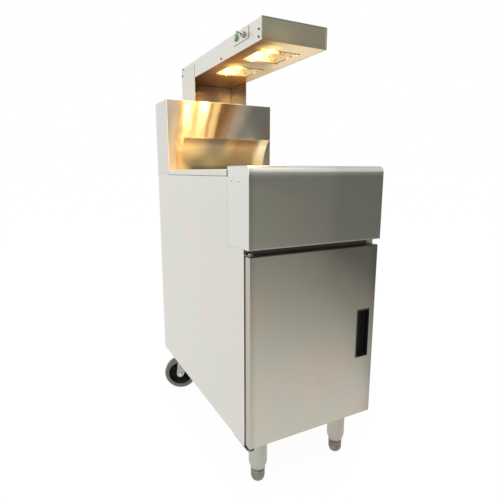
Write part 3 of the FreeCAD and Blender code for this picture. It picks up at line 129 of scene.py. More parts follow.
class ChipWarmerStage(bpy.types.PropertyGroup):
    """The studio: lamps, floor and camera."""

    key_power: FloatProperty(
        name="Key light", description="Soft light from above on the left", default=26.0, unit="POWER")
    top_power: FloatProperty(
        name="Top light", description="Soft light from straight above", default=14.0, unit="POWER")
    lamp_power: FloatProperty(
        name="Lamp light", description="Light of each quartz lamp", default=0.6, unit="POWER")
    filament_strength: FloatProperty(
        name="Filament", description="Brightness of the filament", default=40.0, min=0.0)
    lens: FloatProperty(
        name="Lens", description="The camera's focal length", default=29.9885, unit="CAMERA")


# ---------------------------------------------------------------- surfaces

def unit(vector):
    """The vector over its own length."""
    vector = np.asarray(vector, float)
    return vector / np.linalg.norm(vector)


def softened(points, radius, steps=4):
    """A line with each inner corner c rounded by a parabola, (1-t)^2 p + 2t(1-t) c + t^2 q, where p and q lie
    the radius before and after c, or 0.45 of the shorter run."""
    line = np.asarray(points, float)
    before, after = line[1:-1] - line[:-2], line[2:] - line[1:-1]
    length_before = np.linalg.norm(before, axis=1)[:, None]
    length_after = np.linalg.norm(after, axis=1)[:, None]
    cut = np.minimum(radius, 0.45 * np.minimum(length_before, length_after))
    start = (line[1:-1] - before / length_before * cut)[:, None]
    end = (line[1:-1] + after / length_after * cut)[:, None]
    t = np.linspace(0.0, 1.0, steps)[None, :, None]
    curve = (1 - t) ** 2 * start + 2 * t * (1 - t) * line[1:-1][:, None] + t ** 2 * end
    return np.vstack([line[:1], curve.reshape(-1, line.shape[1]), line[-1:]])


def across(axis):
    """Two unit vectors square to the axis and to each other."""
    axis = unit(axis)
    first = unit(np.cross(axis, UP if abs(axis[2]) < 0.9 else RIGHT))
    return first, np.cross(axis, first)


def turned(profile, centre, axis, steps=48, swell=None):
    """A profile of (radius, height) pairs turned about an axis: point(s, a) = centre + h(s) axis
    + r(s) (cos a u + sin a v). swell(r, h, a) may give new r and h that change round the axis."""
    profile = np.asarray(profile, float)
    angle = np.linspace(0.0, 2 * math.pi, steps, endpoint=False)[None, :]
    radius = np.repeat(profile[:, :1], steps, axis=1)
    height = np.repeat(profile[:, 1:2], steps, axis=1)
    if swell is not None:
        radius, height = swell(radius, height, angle)
    u, v = across(axis)
    ring = np.cos(angle)[..., None] * u + np.sin(angle)[..., None] * v
    return np.asarray(centre, float) + height[..., None] * unit(axis) + radius[..., None] * ring


def swept(path, radius, sides=8):
    """A round tube along a path: at each point two vectors square to the tangent carry a circle of the radius."""
    path = np.asarray(path, float)
    tangent = np.gradient(path, axis=0)
    tangent /= np.linalg.norm(tangent, axis=1)[:, None]
    spread = np.ptp(path, axis=0)
    main, side = np.eye(3)[np.argmax(spread)], np.eye(3)[np.argmin(spread)]
    across_path = np.cross(tangent, np.cross(main, side) + 0.3 * main)
    across_path /= np.linalg.norm(across_path, axis=1)[:, None]
    other = np.cross(tangent, across_path)
    angle = np.linspace(0.0, 2 * math.pi, sides, endpoint=False)[None, :, None]
    return path[:, None] + radius * (np.cos(angle) * across_path[:, None] + np.sin(angle) * other[:, None])


def rounded_loop(left, right, low, high, radius, y, per_corner=7):
    """A rectangle with round corners in a plane of constant y: each corner's centre plus the radius times
    (cos a, sin a), with a going a quarter turn at each of the four corners."""
    quarter = np.linspace(0.0, math.pi / 2, per_corner)
    angle = (quarter[None] + np.arange(4)[:, None] * math.pi / 2).ravel()
    centre_x = np.repeat([right - radius, left + radius, left + radius, right - radius], per_corner)
    centre_z = np.repeat([high - radius, high - radius, low + radius, low + radius], per_corner)
    return np.stack([centre_x + radius * np.cos(angle), np.full(angle.size, y),
                     centre_z + radius * np.sin(angle)], axis=1)


def grid_faces(rows, columns, close_rows, close_columns, start):
    """The quads of a grid of points: (i, j), (i, j+1), (i+1, j+1), (i+1, j), wrapped where a way is closed."""
    i = np.arange(rows if close_rows else rows - 1)[:, None]
    j = np.arange(columns if close_columns else columns - 1)[None, :]
    next_i, next_j = (i + 1) % rows, (j + 1) % columns
    corners = [i * columns + j, i * columns + next_j, next_i * columns + next_j, next_i * columns + j]
    return np.stack([np.broadcast_to(c, (i.size, j.size)) for c in corners], axis=-1).reshape(-1, 4) + start


def capped(rows):
    """A stack of loops with each end drawn in to its middle."""
    ends = [np.repeat(row.mean(axis=0)[None], len(row), axis=0) for row in (rows[0], rows[-1])]
    return np.stack([ends[0], *rows, ends[1]]), False, True


def piece(name, surfaces, material, body, replaced=(), sharp=32.0, weld=1e-6):
    """A mesh of one or more grids of points, each (grid, rows closed, columns closed), joined where points meet,
    with its faces turned outwards, riding on a body."""
    points, faces, start = [], [], 0
    for grid, close_rows, close_columns in surfaces:
        rows, columns = grid.shape[:2]
        points.append(grid.reshape(-1, 3))
        faces.append(grid_faces(rows, columns, close_rows, close_columns, start))
        start += rows * columns
    mesh = bpy.data.meshes.new(name)
    mesh.from_pydata(np.vstack(points), [], np.vstack(faces))
    form = bmesh.new()
    form.from_mesh(mesh)
    bmesh.ops.remove_doubles(form, verts=form.verts, dist=weld)
    bmesh.ops.dissolve_degenerate(form, edges=form.edges, dist=weld / 2)
    bmesh.ops.recalc_face_normals(form, faces=form.faces)
    form.to_mesh(mesh)
    form.free()
    mesh.materials.append(material)
    mesh.shade_smooth()
    mesh.set_sharp_from_angle(angle=math.radians(sharp))
    made = bpy.data.objects.new(name, mesh)
    bpy.context.scene.collection.objects.link(made)
    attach(made, body)
    if replaced:
        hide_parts(*replaced)
    return made


def islands(node):
    """The lowest and highest corner of each loose solid of a node. Each point takes the lowest number among its
    neighbours until nothing changes, so the points of one solid end with one number."""
    mesh = frame["nodes"][node].data
    points = np.empty(len(mesh.vertices) * 3)
    mesh.vertices.foreach_get("co", points)
    points = points.reshape(-1, 3)
    edges = np.empty(len(mesh.edges) * 2, int)
    mesh.edges.foreach_get("vertices", edges)
    spots, where = np.unique(np.round(points, 6), axis=0, return_inverse=True)
    where = where.ravel()
    edges = where[edges.reshape(-1, 2)]
    label, before = np.arange(len(spots)), None
    while before is None or (before != label).any():
        before = label.copy()
        low = np.minimum(label[edges[:, 0]], label[edges[:, 1]])
        np.minimum.at(label, edges[:, 0], low)
        np.minimum.at(label, edges[:, 1], low)
    names, group = np.unique(label, return_inverse=True)
    group = group.ravel()
    low = np.full((len(names), 3), np.inf)
    high = np.full((len(names), 3), -np.inf)
    np.minimum.at(low, group, spots)
    np.maximum.at(high, group, spots)
    return low, high


# ---------------------------------------------------------------- node trees

class Value:
    """A node's output that sums like a number. Each sum adds one node to the output's tree."""

    def __init__(self, socket):
        self.socket = socket
        self.tree = socket.id_data

    def sum(self, operation, *values, clamp=False):
        """One sum on numbers and outputs."""
        return Value(add(self.tree, "ShaderNodeMath", dict(enumerate(values)), operation=operation,
                         use_clamp=clamp).outputs[0])

    def vectors(self, operation, other, output=0):
        """One sum with another vector."""
        return Value(add(self.tree, "ShaderNodeVectorMath", {0: self, 1: other},
                         operation=operation).outputs[output])

    def __add__(self, other):
        return self.sum("ADD", self, other)

    def __sub__(self, other):
        return self.sum("SUBTRACT", self, other)

    def __rsub__(self, other):
        return self.sum("SUBTRACT", other, self)

    def __mul__(self, other):
        return self.sum("MULTIPLY", self, other)

    def __truediv__(self, other):
        return self.sum("DIVIDE", self, other)

    def __abs__(self):
        return self.sum("ABSOLUTE", self)

    __radd__ = __add__


def blank_tree(owner):
    """The empty shader tree of a material or a world."""
    owner.use_nodes = True
    owner.node_tree.nodes.clear()
    return owner.node_tree


def give(socket, value):
    """Links an output to an input, or sets a plain value there."""
    value = value.socket if isinstance(value, Value) else value
    if isinstance(value, bpy.types.NodeSocket):
        socket.id_data.links.new(value, socket)
    else:
        socket.default_value = value


def add(tree, kind, links=None, **values):
    """A node with its settings. links gives each named or numbered input an output or a plain value."""
    node = tree.nodes.new(kind)
    for key, value in values.items():
        setattr(node, key, value)
    for key, value in (links or {}).items():
        give(node.inputs[key], value)
    return node


def ramp(value, low, high, out_low=0.0, out_high=1.0):
    """A smooth step of a value from low to high."""
    return Value(add(value.tree, "ShaderNodeMapRange", {0: value, 1: low, 2: high, 3: out_low, 4: out_high},
                     interpolation_type="SMOOTHSTEP").outputs[0])


def fading(value, low, high):
    """A smooth step down: one below low and none above high."""
    return ramp(value, low, high, 1.0, 0.0)


def most(first, second):
    """The larger of two values."""
    return first.sum("MAXIMUM", first, second)


def parts(vector):
    """A vector's x, y and z."""
    return [Value(socket) for socket in add(vector.tree, "ShaderNodeSeparateXYZ", {0: vector}).outputs]


def dot(first, second):
    """How far the first vector goes along the second."""
    return first.vectors("DOT_PRODUCT", second, 1)


def away(first, second):
    """The first vector less the second."""
    return first.vectors("SUBTRACT", second)


def distance(first, second):
    """The length between two places."""
    return first.vectors("DISTANCE", second, 1)


def stretched(vector, scale):
    """The vector with each way scaled on its own."""
    return vector.vectors("MULTIPLY", scale)


def surface_normal(tree):
    """The way a surface faces."""
    return Value(add(tree, "ShaderNodeNewGeometry").outputs["Normal"])


def facing(vector, axis):
    """How far a surface faces along x, y or z: axis 0, 1 or 2."""
    return parts(surface_normal(vector.tree))[axis]


def light_path(tree, kind):
    """Whether the ray is of a kind."""
    return Value(add(tree, "ShaderNodeLightPath").outputs[kind])


def seen(tree):
    """Whether the eye looks at it, also through glass."""
    return most(light_path(tree, "Is Camera Ray"), light_path(tree, "Is Transmission Ray"))


def noise(vector, scale, detail=2.0, roughness=0.5):
    """A noise value at a scale."""
    return Value(add(vector.tree, "ShaderNodeTexNoise", {"Vector": vector, "Scale": scale, "Detail": detail,
                                                         "Roughness": roughness}).outputs[0])


def uneven(vector, scale, detail, roughness, depth):
    """Noise about zero, of a depth."""
    return (noise(vector, scale, detail, roughness) - 0.5) * depth


def cells(vector, scale, feature="F1"):
    """The distance to the nearest of scattered points."""
    return Value(add(vector.tree, "ShaderNodeTexVoronoi", {"Vector": vector, "Scale": scale},
                     feature=feature).outputs["Distance"])


def mixed(share, first, second, blend_type="MIX"):
    """Two colours mixed by a share. A colour of three numbers gets full alpha."""
    first, second = (c + (1.0,) if isinstance(c, tuple) and len(c) == 3 else c for c in (first, second))
    return Value(add(share.tree, "ShaderNodeMix", {0: share, 6: first, 7: second}, data_type="RGBA",
                     blend_type=blend_type).outputs[2])


def blended(share, first, second):
    """Two values mixed by a share."""
    return Value(add(share.tree, "ShaderNodeMix", {0: share, 2: first, 3: second}, data_type="FLOAT").outputs[0])


def coloured(value, bands):
    """A value turned into colours: each band is a place from nought to one and a colour."""
    node = add(value.tree, "ShaderNodeValToRGB", {0: value})
    steps = node.color_ramp.elements
    for _ in range(len(bands) - 2):
        steps.new(0.5)
    for step, (place, colour) in zip(steps, bands):
        step.position = place
        step.color = colour + (1.0,)
    return Value(node.outputs[0])


def bumped(height, strength, distance, normal=None):
    """A bump from a height, on another normal where given."""
    links = {"Height": height, "Strength": strength, "Distance": distance}
    if normal is not None:
        links["Normal"] = normal
    return Value(add(height.tree, "ShaderNodeBump", links).outputs[0])


# ---------------------------------------------------------------- effects that the finishes share

def brushed_grain(vector, along, across):
    """Grain that runs along a sheet, level on its sides and to the back on its top faces."""
    flat = ramp(abs(facing(vector, 2)), 0.6, 0.8)
    heights, streaks = [], []
    for ways in ((along, along, across), (along, across, along)):
        scale = Value(add(vector.tree, "ShaderNodeCombineXYZ", dict(enumerate(ways))).outputs[0])
        grain = stretched(vector, scale)
        heights.append(noise(grain, 1.0, 3.0, 0.6))
        streaks.append(noise(grain, 0.45, 2.0, 0.55))
    return {"Height": blended(flat, *heights), "Streak": blended(flat, *streaks)}


def sheet_waves(vector, scale):
    """Slow waves in a sheet."""
    return {"Height": noise(vector, scale, 1.0, 0.35)}


def soft_smudges(vector, scale, cover):
    """Wiped smudges over a share of a sheet."""
    wipes = noise(stretched(vector, (1.0, 1.0, 4.0)), scale * 5.0, 3.0, 0.6)
    edge = 0.72 - cover * 0.3
    return {"Mask": ramp(noise(vector, scale, 4.0, 0.62) * 0.7 + wipes * 0.3, edge, edge + 0.16)}


def moulded_grain(vector, scale):
    """Fine pebbles and slow patches of tone."""
    pebbles = cells(vector, scale, "SMOOTH_F1")
    return {"Height": pebbles.sum("SUBTRACT", 1.0, pebbles, clamp=True), "Tone": noise(vector, scale * 0.05, 3.0)}


def settled_dust(vector, scale):
    """Specks on faces that look up."""
    upward = ramp(facing(vector, 2), 0.55, 0.95)
    return {"Mask": upward * ramp(noise(vector, scale, 5.0, 0.7), 0.42, 0.66)}


def painted_lamp_shade(vector, start, way, length, face):
    """Painted warm shade of the lamps that browns the steel: it fades from a start along a way, on faces that look
    towards face.
    """
    share = dot(away(vector, start), way) / length + uneven(vector, 14.0, 4.0, 0.6, 0.35)
    faced = ramp(dot(surface_normal(vector.tree), face), 0.2, 0.75)
    return {"Mask": fading(share, 0.0, 1.0) * faced,
            "Colour": coloured(share, [(0.0, (0.26, 0.12, 0.045)), (0.35, (0.48, 0.25, 0.09)),
                                       (0.70, (0.74, 0.50, 0.24)), (1.0, (0.84, 0.71, 0.50))])}


def cloudy_tint(vector, colour, scale, depth):
    """A colour under slow clouds of green and rose."""
    clouds = ramp(noise(vector, scale, 3.0, 0.5), 0.36, 0.64)
    return {"Colour": mixed(depth, colour, mixed(clouds, (0.93, 0.99, 0.94), (1.04, 0.975, 0.935)), "MULTIPLY")}


def sheet_shade(vector, start, way, length):
    """A mask that rises from a start along a way, with a soft uneven edge."""
    share = dot(away(vector, start), way) / length + uneven(vector, 6.0, 2.0, 0.5, 0.5)
    return {"Mask": ramp(share, 0.0, 1.0)}


def leaning_band(vector, middle, height, lean, half, soft):
    """A band up a sheet, with its middle at a height, its lean, its half width and its soft edge."""
    x, _, z = parts(vector)
    aside = x - middle - (z - height) * lean
    return {"Mask": fading((abs(aside) - half) / soft + uneven(vector, 26.0, 2.0, 0.5, 0.5), 0.0, 1.0)}


def rolled_edge(vector, low, reach):
    """The height of an edge that rolls back above low: less the square of the rise over the reach."""
    over = most(parts(vector)[2] - low, 0.0)
    return {"Height": over.sum("POWER", over, 2.0) / reach * -1.0}


def lamp_halo(vector, reach):
    """A spot at the front left of each lamp."""
    first, second = (distance(vector, tuple(np.add(centre, (-0.042, -0.070, -0.015)))) for centre in lamp_centres())
    return {"Mask": fading(first.sum("MINIMUM", first, second) / reach, 0.0, 1.0)}


def floor_scuffs(vector, height):
    """Rubbed marks that thin out up to a height."""
    low = vector.sum("SUBTRACT", 1.0, parts(vector)[2] / height, clamp=True)
    marks = noise(stretched(vector, (1.0, 1.0, 0.35)), 130.0, 5.0, 0.68)
    return {"Mask": low * ramp(marks, 0.40, 0.62)}


def new_group(name, effect, **inputs):
    """A shared effect as a shader group, with a Vector and the inputs given with their defaults."""
    tree = bpy.data.node_groups.new(name, "ShaderNodeTree")
    for label, default in {"Vector": ORIGIN, **inputs}.items():
        kind = "Float" if isinstance(default, float) else {3: "Vector", 4: "Color"}[len(default)]
        tree.interface.new_socket(label, in_out="INPUT", socket_type="NodeSocket" + kind).default_value = default
    sources = tree.nodes.new("NodeGroupInput").outputs
    results = effect(**{label.lower(): Value(sources[label]) for label in ("Vector", *inputs)})
    for label in results:
        kind = "Color" if label == "Colour" else "Float"
        tree.interface.new_socket(label, in_out="OUTPUT", socket_type="NodeSocket" + kind)
    ends = tree.nodes.new("NodeGroupOutput").inputs
    for label, value in results.items():
        give(ends[label], value)


def make_groups():
    """The effects, each with its own defaults."""
    new_group("Brushed grain", brushed_grain, Along=9.0, Across=1300.0)
    new_group("Sheet waves", sheet_waves, Scale=3.0)
    new_group("Soft smudges", soft_smudges, Scale=7.0, Cover=0.5)
    new_group("Moulded grain", moulded_grain, Scale=1800.0)
    new_group("Settled dust", settled_dust, Scale=60.0)
    # Painted lamp shade: the lamps' warm shade, painted as browned steel.
    new_group("Painted lamp shade", painted_lamp_shade, Start=ORIGIN, Way=BACKWARD, Length=0.2, Face=FORWARD)
    new_group("Cloudy tint", cloudy_tint, Colour=(1.0, 1.0, 1.0, 1.0), Scale=5.0, Depth=1.0)
    new_group("Sheet shade", sheet_shade, Start=ORIGIN, Way=UP, Length=0.2)
    new_group("Leaning band", leaning_band, Middle=0.0, Height=1.0, Lean=0.0, Half=0.02, Soft=0.02)
    new_group("Rolled edge", rolled_edge, Low=0.8, Reach=0.03)
    new_group("Lamp halo", lamp_halo, Reach=0.04)
    new_group("Floor scuffs", floor_scuffs, Height=0.08)


def placed(name, vector, **values):
    """A shared effect placed in the vector's tree with its own values, and its outputs by name."""
    node = add(vector.tree, "ShaderNodeGroup", node_tree=bpy.data.node_groups[name])
    for label, value in {"Vector": vector, **values}.items():
        give(node.inputs[label], value)
    return {socket.name: Value(socket) for socket in node.outputs}


def mask(name, vector, **values):
    """The mask of a shared effect."""
    return placed(name, vector, **values)["Mask"]


# ---------------------------------------------------------------- finishes

def shade(colour, factor):
    """A colour made darker or lighter."""
    return tuple(min(1.0, c * factor) for c in colour[:3])


def new_material(name, **constants):
    """A material, its Principled shader with the plain numbers on its own sockets, and the place on the object."""
    material = bpy.data.materials.new(name)
    tree = blank_tree(material)
    shader = add(tree, "ShaderNodeBsdfPrincipled", constants)
    add(tree, "ShaderNodeOutputMaterial", {"Surface": shader.outputs[0]})
    return material, shader, Value(add(tree, "ShaderNodeTexCoord").outputs["Object"])


def dressed(material, shader, base, roughness, normal=None, shine=None):
    """The material with its colour, roughness, normal and own light joined to its shader."""
    for label, value in (("Base Color", base), ("Roughness", roughness), ("Normal", normal),
                         ("Emission Color", shine)):
        if value is not None:
            give(shader.inputs[label], value)
    return material


def steel(name, colour, rough=0.30, along=9.0, across_grain=1300.0, waves=0.0006, anisotropic=0.6, smudge=0.5,
          dust=False, scuffs=0.0, tangent="Z", stain_and_lamp_shade=None, ripple=0.0, shaded=(), flange=None, rolled=None,
          glow=None, wash=None, within=None, clouds=4.0, painted_reflections=(), streaks=(), deep=(), glint=None, tooth=0.3,
          cloudy=1.0):
    """Brushed stainless steel: fine grain that tints and roughens, cloudy tints, slow waves in the sheet and wiped
    smudges. Where asked also a painted warm shade of the lamps that browns the steel (start, way, length, strength,
    facing), ripples that run up the sheet, stretches of painted shade or painted highlight (start, way, length,
    factor), side flanges in another tone, a rolled top edge (low, reach), a painted halo of the lamps' light (colour,
    reach), a painted warm wash of their light (start, way, length, colour), dust on top faces and scuffs near the
    floor.
    within keeps the painted warm shade, the wash and deep to faces nearer the middle than it. The reflection bands and
    streaks are leaning bands (middle, height, lean, half width, soft edge, colour), the first painted reflections in
    the colour and the second painted reflections of the lamps' light as emission; deep stretches (start, way, length,
    colour) darken all, as painted shade on the sheets and as the foot's tone on a leg; glint (half width, colour) is a
    painted highlight on the bend along the top edge; tooth is the strength of the grain's relief."""
    constants = {"Metallic": 1.0, "Anisotropic": anisotropic, "Anisotropic Rotation": 0.25}
    if glow or wash or streaks:
        constants["Emission Strength"] = 1.0
    material, shader, place = new_material(name, **constants)
    tree = place.tree

    def stretch(start, way, length):
        return mask("Sheet shade", place, Start=start, Way=way, Length=length)

    def band(middle, height, lean, half, soft):
        return mask("Leaning band", place, Middle=middle, Height=height, Lean=lean, Half=half, Soft=soft)

    grain = placed("Brushed grain", place, Along=along, Across=across_grain)
    smear = mask("Soft smudges", place, Scale=6.0, Cover=smudge)
    base = mixed(ramp(grain["Streak"], 0.32, 0.68), shade(colour, 0.985), shade(colour, 1.01))
    base = placed("Cloudy tint", place, Colour=base, Scale=clouds, Depth=cloudy)["Colour"]
    base = mixed(smear * 0.4, base, shade(colour, 0.88))
    # Stretches of painted shade, or of painted highlight where the factor is above one.
    for *where, factor in shaded:
        base = mixed(stretch(*where), base, shade(colour, factor))
    roughness = rough - 0.02 + grain["Streak"] * 0.04 + smear * 0.06
    front = inside = 1.0
    if flange:
        flange_colour, flange_rough = flange
        aside = ramp(abs(facing(place, 0)), 0.5, 0.9)
        base = mixed(aside, base, flange_colour)
        roughness = blended(aside, roughness, flange_rough)
        front = 1.0 - aside
    if within:
        inside = place.sum("LESS_THAN", abs(parts(place)[0]), within)
    # Painted warm shade of the lamps, which browns the steel.
    if stain_and_lamp_shade:
        start, way, length, strength, face = stain_and_lamp_shade
        lamp_shade = placed("Painted lamp shade", place, Start=start, Way=way, Length=length, Face=face)
        base = mixed(lamp_shade["Mask"] * strength * inside, base, lamp_shade["Colour"])
    if dust:
        settled = mask("Settled dust", place, Scale=70.0)
        base = mixed(settled * 0.35, base, (0.55, 0.53, 0.50))
        roughness += settled * 0.25
    if scuffs:
        marks = mask("Floor scuffs", place, Height=scuffs)
        base = mixed(marks * 0.55, base, shade(colour, 0.45))
        roughness += marks * 0.22
    # Painted reflections: leaning bands that tint the colour.
    for *where, tint in painted_reflections:
        base = mixed(band(*where), base, tint)
    # Darker stretches: painted shade on the sheets, and the foot's tone on a leg.
    for *where, tint in deep:
        base = mixed(stretch(*where) * front * inside, base, tint, "MULTIPLY")
    shine = (0.0, 0.0, 0.0) if "Emission Strength" in constants else None
    # Painted light: a warm wash of the lamps' light, as emission.
    if wash:
        *where, tint = wash
        shine = mixed((1.0 - stretch(*where)) * inside, shine, tint)
    # Painted light: the lamps' halo, as emission.
    if glow:
        tint, reach = glow
        shine = mixed(mask("Lamp halo", place, Reach=reach), shine, tint)
    # Painted reflections of the lamps: leaning streaks of emission.
    for *where, tint in streaks:
        shine = mixed(band(*where) * front, shine, tint, "ADD")
    # Painted highlight: emission on the bend along the top edge.
    if glint:
        half, tint = glint
        near = fading(abs(parts(place)[0]), half - 0.02, half)
        shine = mixed(ramp(facing(place, 2), 0.15, 0.5) * near, shine, tint)
    normal = bumped(placed("Sheet waves", place, Scale=3.2)["Height"], 1.0, waves)
    if ripple:
        normal = bumped(noise(stretched(place, (34.0, 34.0, 2.2)), 1.0, 3.0, 0.55), 1.0, ripple, normal)
    if rolled:
        low, reach = rolled
        normal = bumped(placed("Rolled edge", place, Low=low, Reach=reach)["Height"], 1.0, 1.0, normal)
    normal = bumped(grain["Height"], tooth, 0.00002, normal)
    give(shader.inputs["Tangent"], add(tree, "ShaderNodeTangent", direction_type="RADIAL", axis=tangent).outputs[0])
    return dressed(material, shader, base, roughness, normal, shine)


def plated(name, colour, rough=0.34, scuffs=0.0, painted_shade=None):
    """Zinc-plated steel: cloudy crystals, a faint bloom and rubbed patches, and where asked painted shade (colour,
    height) on the sides that face the door, above a height."""
    material, shader, place = new_material(name, Metallic=1.0)
    clouds = noise(place, 90.0, 4.0, 0.6)
    base = mixed(ramp(clouds, 0.35, 0.65), shade(colour, 0.82), shade(colour, 1.08))
    if scuffs:
        base = mixed(mask("Floor scuffs", place, Height=scuffs) * 0.5, base, shade(colour, 0.4))
    # Painted shade: a dark tone on the sides that face the door, above a height.
    if painted_shade:
        tint, height = painted_shade
        above = place.sum("GREATER_THAN", parts(place)[2], height)
        base = mixed(fading(facing(place, 1), -0.22, -0.02) * above, base, tint)
    tooth = bumped(noise(place, 900.0, 3.0, 0.6), 0.25, 0.00008)
    return dressed(material, shader, base, rough - 0.06 + clouds * 0.14, tooth)


def moulded(name, colour, rough=0.5, scale=1800.0, depth=0.00006, dust=0.25, gloss=0.3, scuffs=0.0, rim=None):
    """Moulded plastic or rubber: fine pebbled grain, patches of sheen, settled dust and rubbed marks, and where
    asked a painted highlight: a paler rim at the left and the top (corner, colour)."""
    material, shader, place = new_material(name, **{"Metallic": 0.0, "Specular IOR Level": gloss})
    grain = placed("Moulded grain", place, Scale=scale)
    base = mixed(grain["Tone"], shade(colour, 0.78), shade(colour, 1.3))
    # Painted highlight: a paler rim at the left and the top.
    if rim:
        corner, rim_highlight = rim
        x, _, z = parts(away(place, corner))
        base = mixed(most(fading(x, 0.007, 0.012), ramp(z, -0.010, -0.006)), base, rim_highlight)
    base = mixed(mask("Settled dust", place, Scale=120.0) * dust, base, (0.40, 0.38, 0.35))
    if scuffs:
        base = mixed(mask("Floor scuffs", place, Height=scuffs) * 0.5, base, (0.30, 0.29, 0.27))
    return dressed(material, shader, base, rough - 0.07 + grain["Tone"] * 0.14, bumped(grain["Height"], 0.4, depth))


def glowing_reflector(name, centre):
    """Polished reflector over a lamp: hammered facets, a painted glow that is white near the lamp's middle and turns
    golden away from it, end walls that glow in a plain pale tone of painted lamp light, and a dark seam of painted
    shade at the foot of the walls."""
    material, shader, place = new_material(name, **{"Metallic": 1.0, "Emission Strength": 1.0})
    facets = cells(place, 190.0, "SMOOTH_F1")
    x, _, z = parts(place)
    lamp_middle, glow_reach, fleck = -0.012, 0.07, 0.05
    share = (abs(x - lamp_middle) + (facets - 0.40) * fleck) / glow_reach
    # Painted light: the reflector's glow, white near the lamp's middle and golden away from it.
    warmth = coloured(share, [(0.0, (1.5, 1.28, 0.85)), (0.40, (1.30, 1.02, 0.52)), (0.58, (1.0, 0.66, 0.22)),
                              (0.78, (0.82, 0.44, 0.10)), (0.95, (0.42, 0.20, 0.05))])
    wall = ramp(abs(facing(place, 0)), 0.55, 0.80)
    lines = noise(stretched(place, (300.0, 500.0, 40.0)), 1.0, 3.0, 0.6)
    # Painted light: the end walls' plain pale tone, as emission over a near-black base.
    plain = mixed(ramp(lines, 0.3, 0.7), (0.67, 0.50, 0.29), (0.78, 0.60, 0.36))
    # Painted shade: a dark seam at the foot of the walls, in the glow and in the colour.
    seam = fading(z - centre[2], -0.0130, -0.0105)
    lit = mixed(seam, mixed(wall, warmth, plain), (0.10, 0.05, 0.015))
    shine = mixed(light_path(place.tree, "Is Glossy Ray"), lit, (0.40, 0.22, 0.075))
    soot = noise(place, 60.0, 4.0)
    base = mixed(ramp(soot, 0.55, 0.75, 0.0, 0.35), (0.88, 0.74, 0.48), (0.50, 0.38, 0.22))
    base = mixed(most(wall, seam), base, (0.02, 0.018, 0.014))
    roughness = 0.20 + most(soot * 0.12, wall * 0.4)
    return dressed(material, shader, base, roughness, bumped(facets, 0.5, 0.0008), shine)


def ceramic(name, colour):
    """Glazed ceramic: a fine tooth, warm stains, a soft gloss and the warm glow of the lamp beside it."""
    material, shader, place = new_material(
        name, **{"Metallic": 0.0, "Coat Weight": 0.25, "Emission Strength": 1.0})
    stain_and_lamp_shade = noise(place, 75.0, 5.0, 0.65)
    base = mixed(ramp(stain_and_lamp_shade, 0.48, 0.72), shade(colour, 0.5), (0.40, 0.30, 0.19))
    warm = mixed(ramp(stain_and_lamp_shade, 0.40, 0.62), (0.46, 0.345, 0.185), (0.38, 0.275, 0.14))
    tooth = bumped(noise(place, 1400.0, 2.0), 0.3, 0.00008)
    return dressed(material, shader, base, 0.32 + stain_and_lamp_shade * 0.3, tooth, warm)


def quartz(name):
    """Clear quartz with a thin haze and a faint amber cast."""
    material, shader, place = new_material(name, **{"Metallic": 0.0, "Transmission Weight": 1.0, "IOR": 1.46})
    haze = noise(place, 140.0, 4.0)
    base = mixed(haze, (1.0, 0.97, 0.90), (1.0, 0.90, 0.74))
    return dressed(material, shader, base, ramp(haze, 0.4, 0.8, 0.02, 0.16), bumped(haze, 0.2, 0.0001))


def filament(name, glow, strength):
    """Hot coil: bright in its middle and cooler towards its ends, which the steel doesn't mirror."""
    material, shader, place = new_material(name, **{"Metallic": 0.0, "Emission Strength": strength})
    along = abs(parts(place)[0])
    heat = fading(along, 0.022, 0.032)
    mirrored = light_path(place.tree, "Is Glossy Ray") * ramp(along, 0.007, 0.014)
    shine = mixed(mirrored, mixed(heat, (0.9, 0.22, 0.03), shade(glow, 1.0)), (0.03, 0.015, 0.004))
    base = mixed(noise(place, 400.0), (0.20, 0.18, 0.16), (0.32, 0.29, 0.26))
    return dressed(material, shader, base, ramp(heat, 0.0, 1.0, 0.5, 0.3), shine=shine)


def pilot_green(name, colour):
    """Green lens: lit from within at its middle, with a clear gloss."""
    material, shader, place = new_material(
        name, **{"Metallic": 0.0, "Coat Weight": 0.1, "Emission Strength": 0.35, "Specular IOR Level": 0.2})
    core = fading(distance(place, pilot_centre()), 0.0012, 0.0085)
    facets = cells(place, 700.0)
    base = mixed(core, shade(colour, 0.75), (0.12, 0.62, 0.30))
    base = mixed(facets * 0.4, base, shade(colour, 0.4))
    shine = mixed(core, (0.0, 0.05, 0.01), (0.10, 0.85, 0.35))
    return dressed(material, shader, base, 0.32 + facets * 0.2, bumped(facets, 0.35, 0.0002), shine)


def finish_node(material, *names):
    """Gives a finish to nodes that keep their own shape."""
    for name in names:
        for place in frame["nodes"][name].material_slots:
            place.material = material


# ---------------------------------------------------------------- places read from the frame

def lamp_centres():
    """The middle of each lamp's tube, front then rear."""
    low, high = islands("quartz_tubes")
    centres = (low + high) / 2
    return [tuple(c) for c in centres[np.argsort(centres[:, 1])]]


def pilot_centre():
    """The point where the pilot lens meets its bezel, on the lens's axis."""
    low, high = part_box("pilot_lens")
    return (high.x, (low.y + high.y) / 2, (low.z + high.z) / 2)


def joint(name):
    """A joint of the record, by name."""
    return next(j for j in frame["joints"] if j["name"] == name)


# ---------------------------------------------------------------- the sheets' own finishes

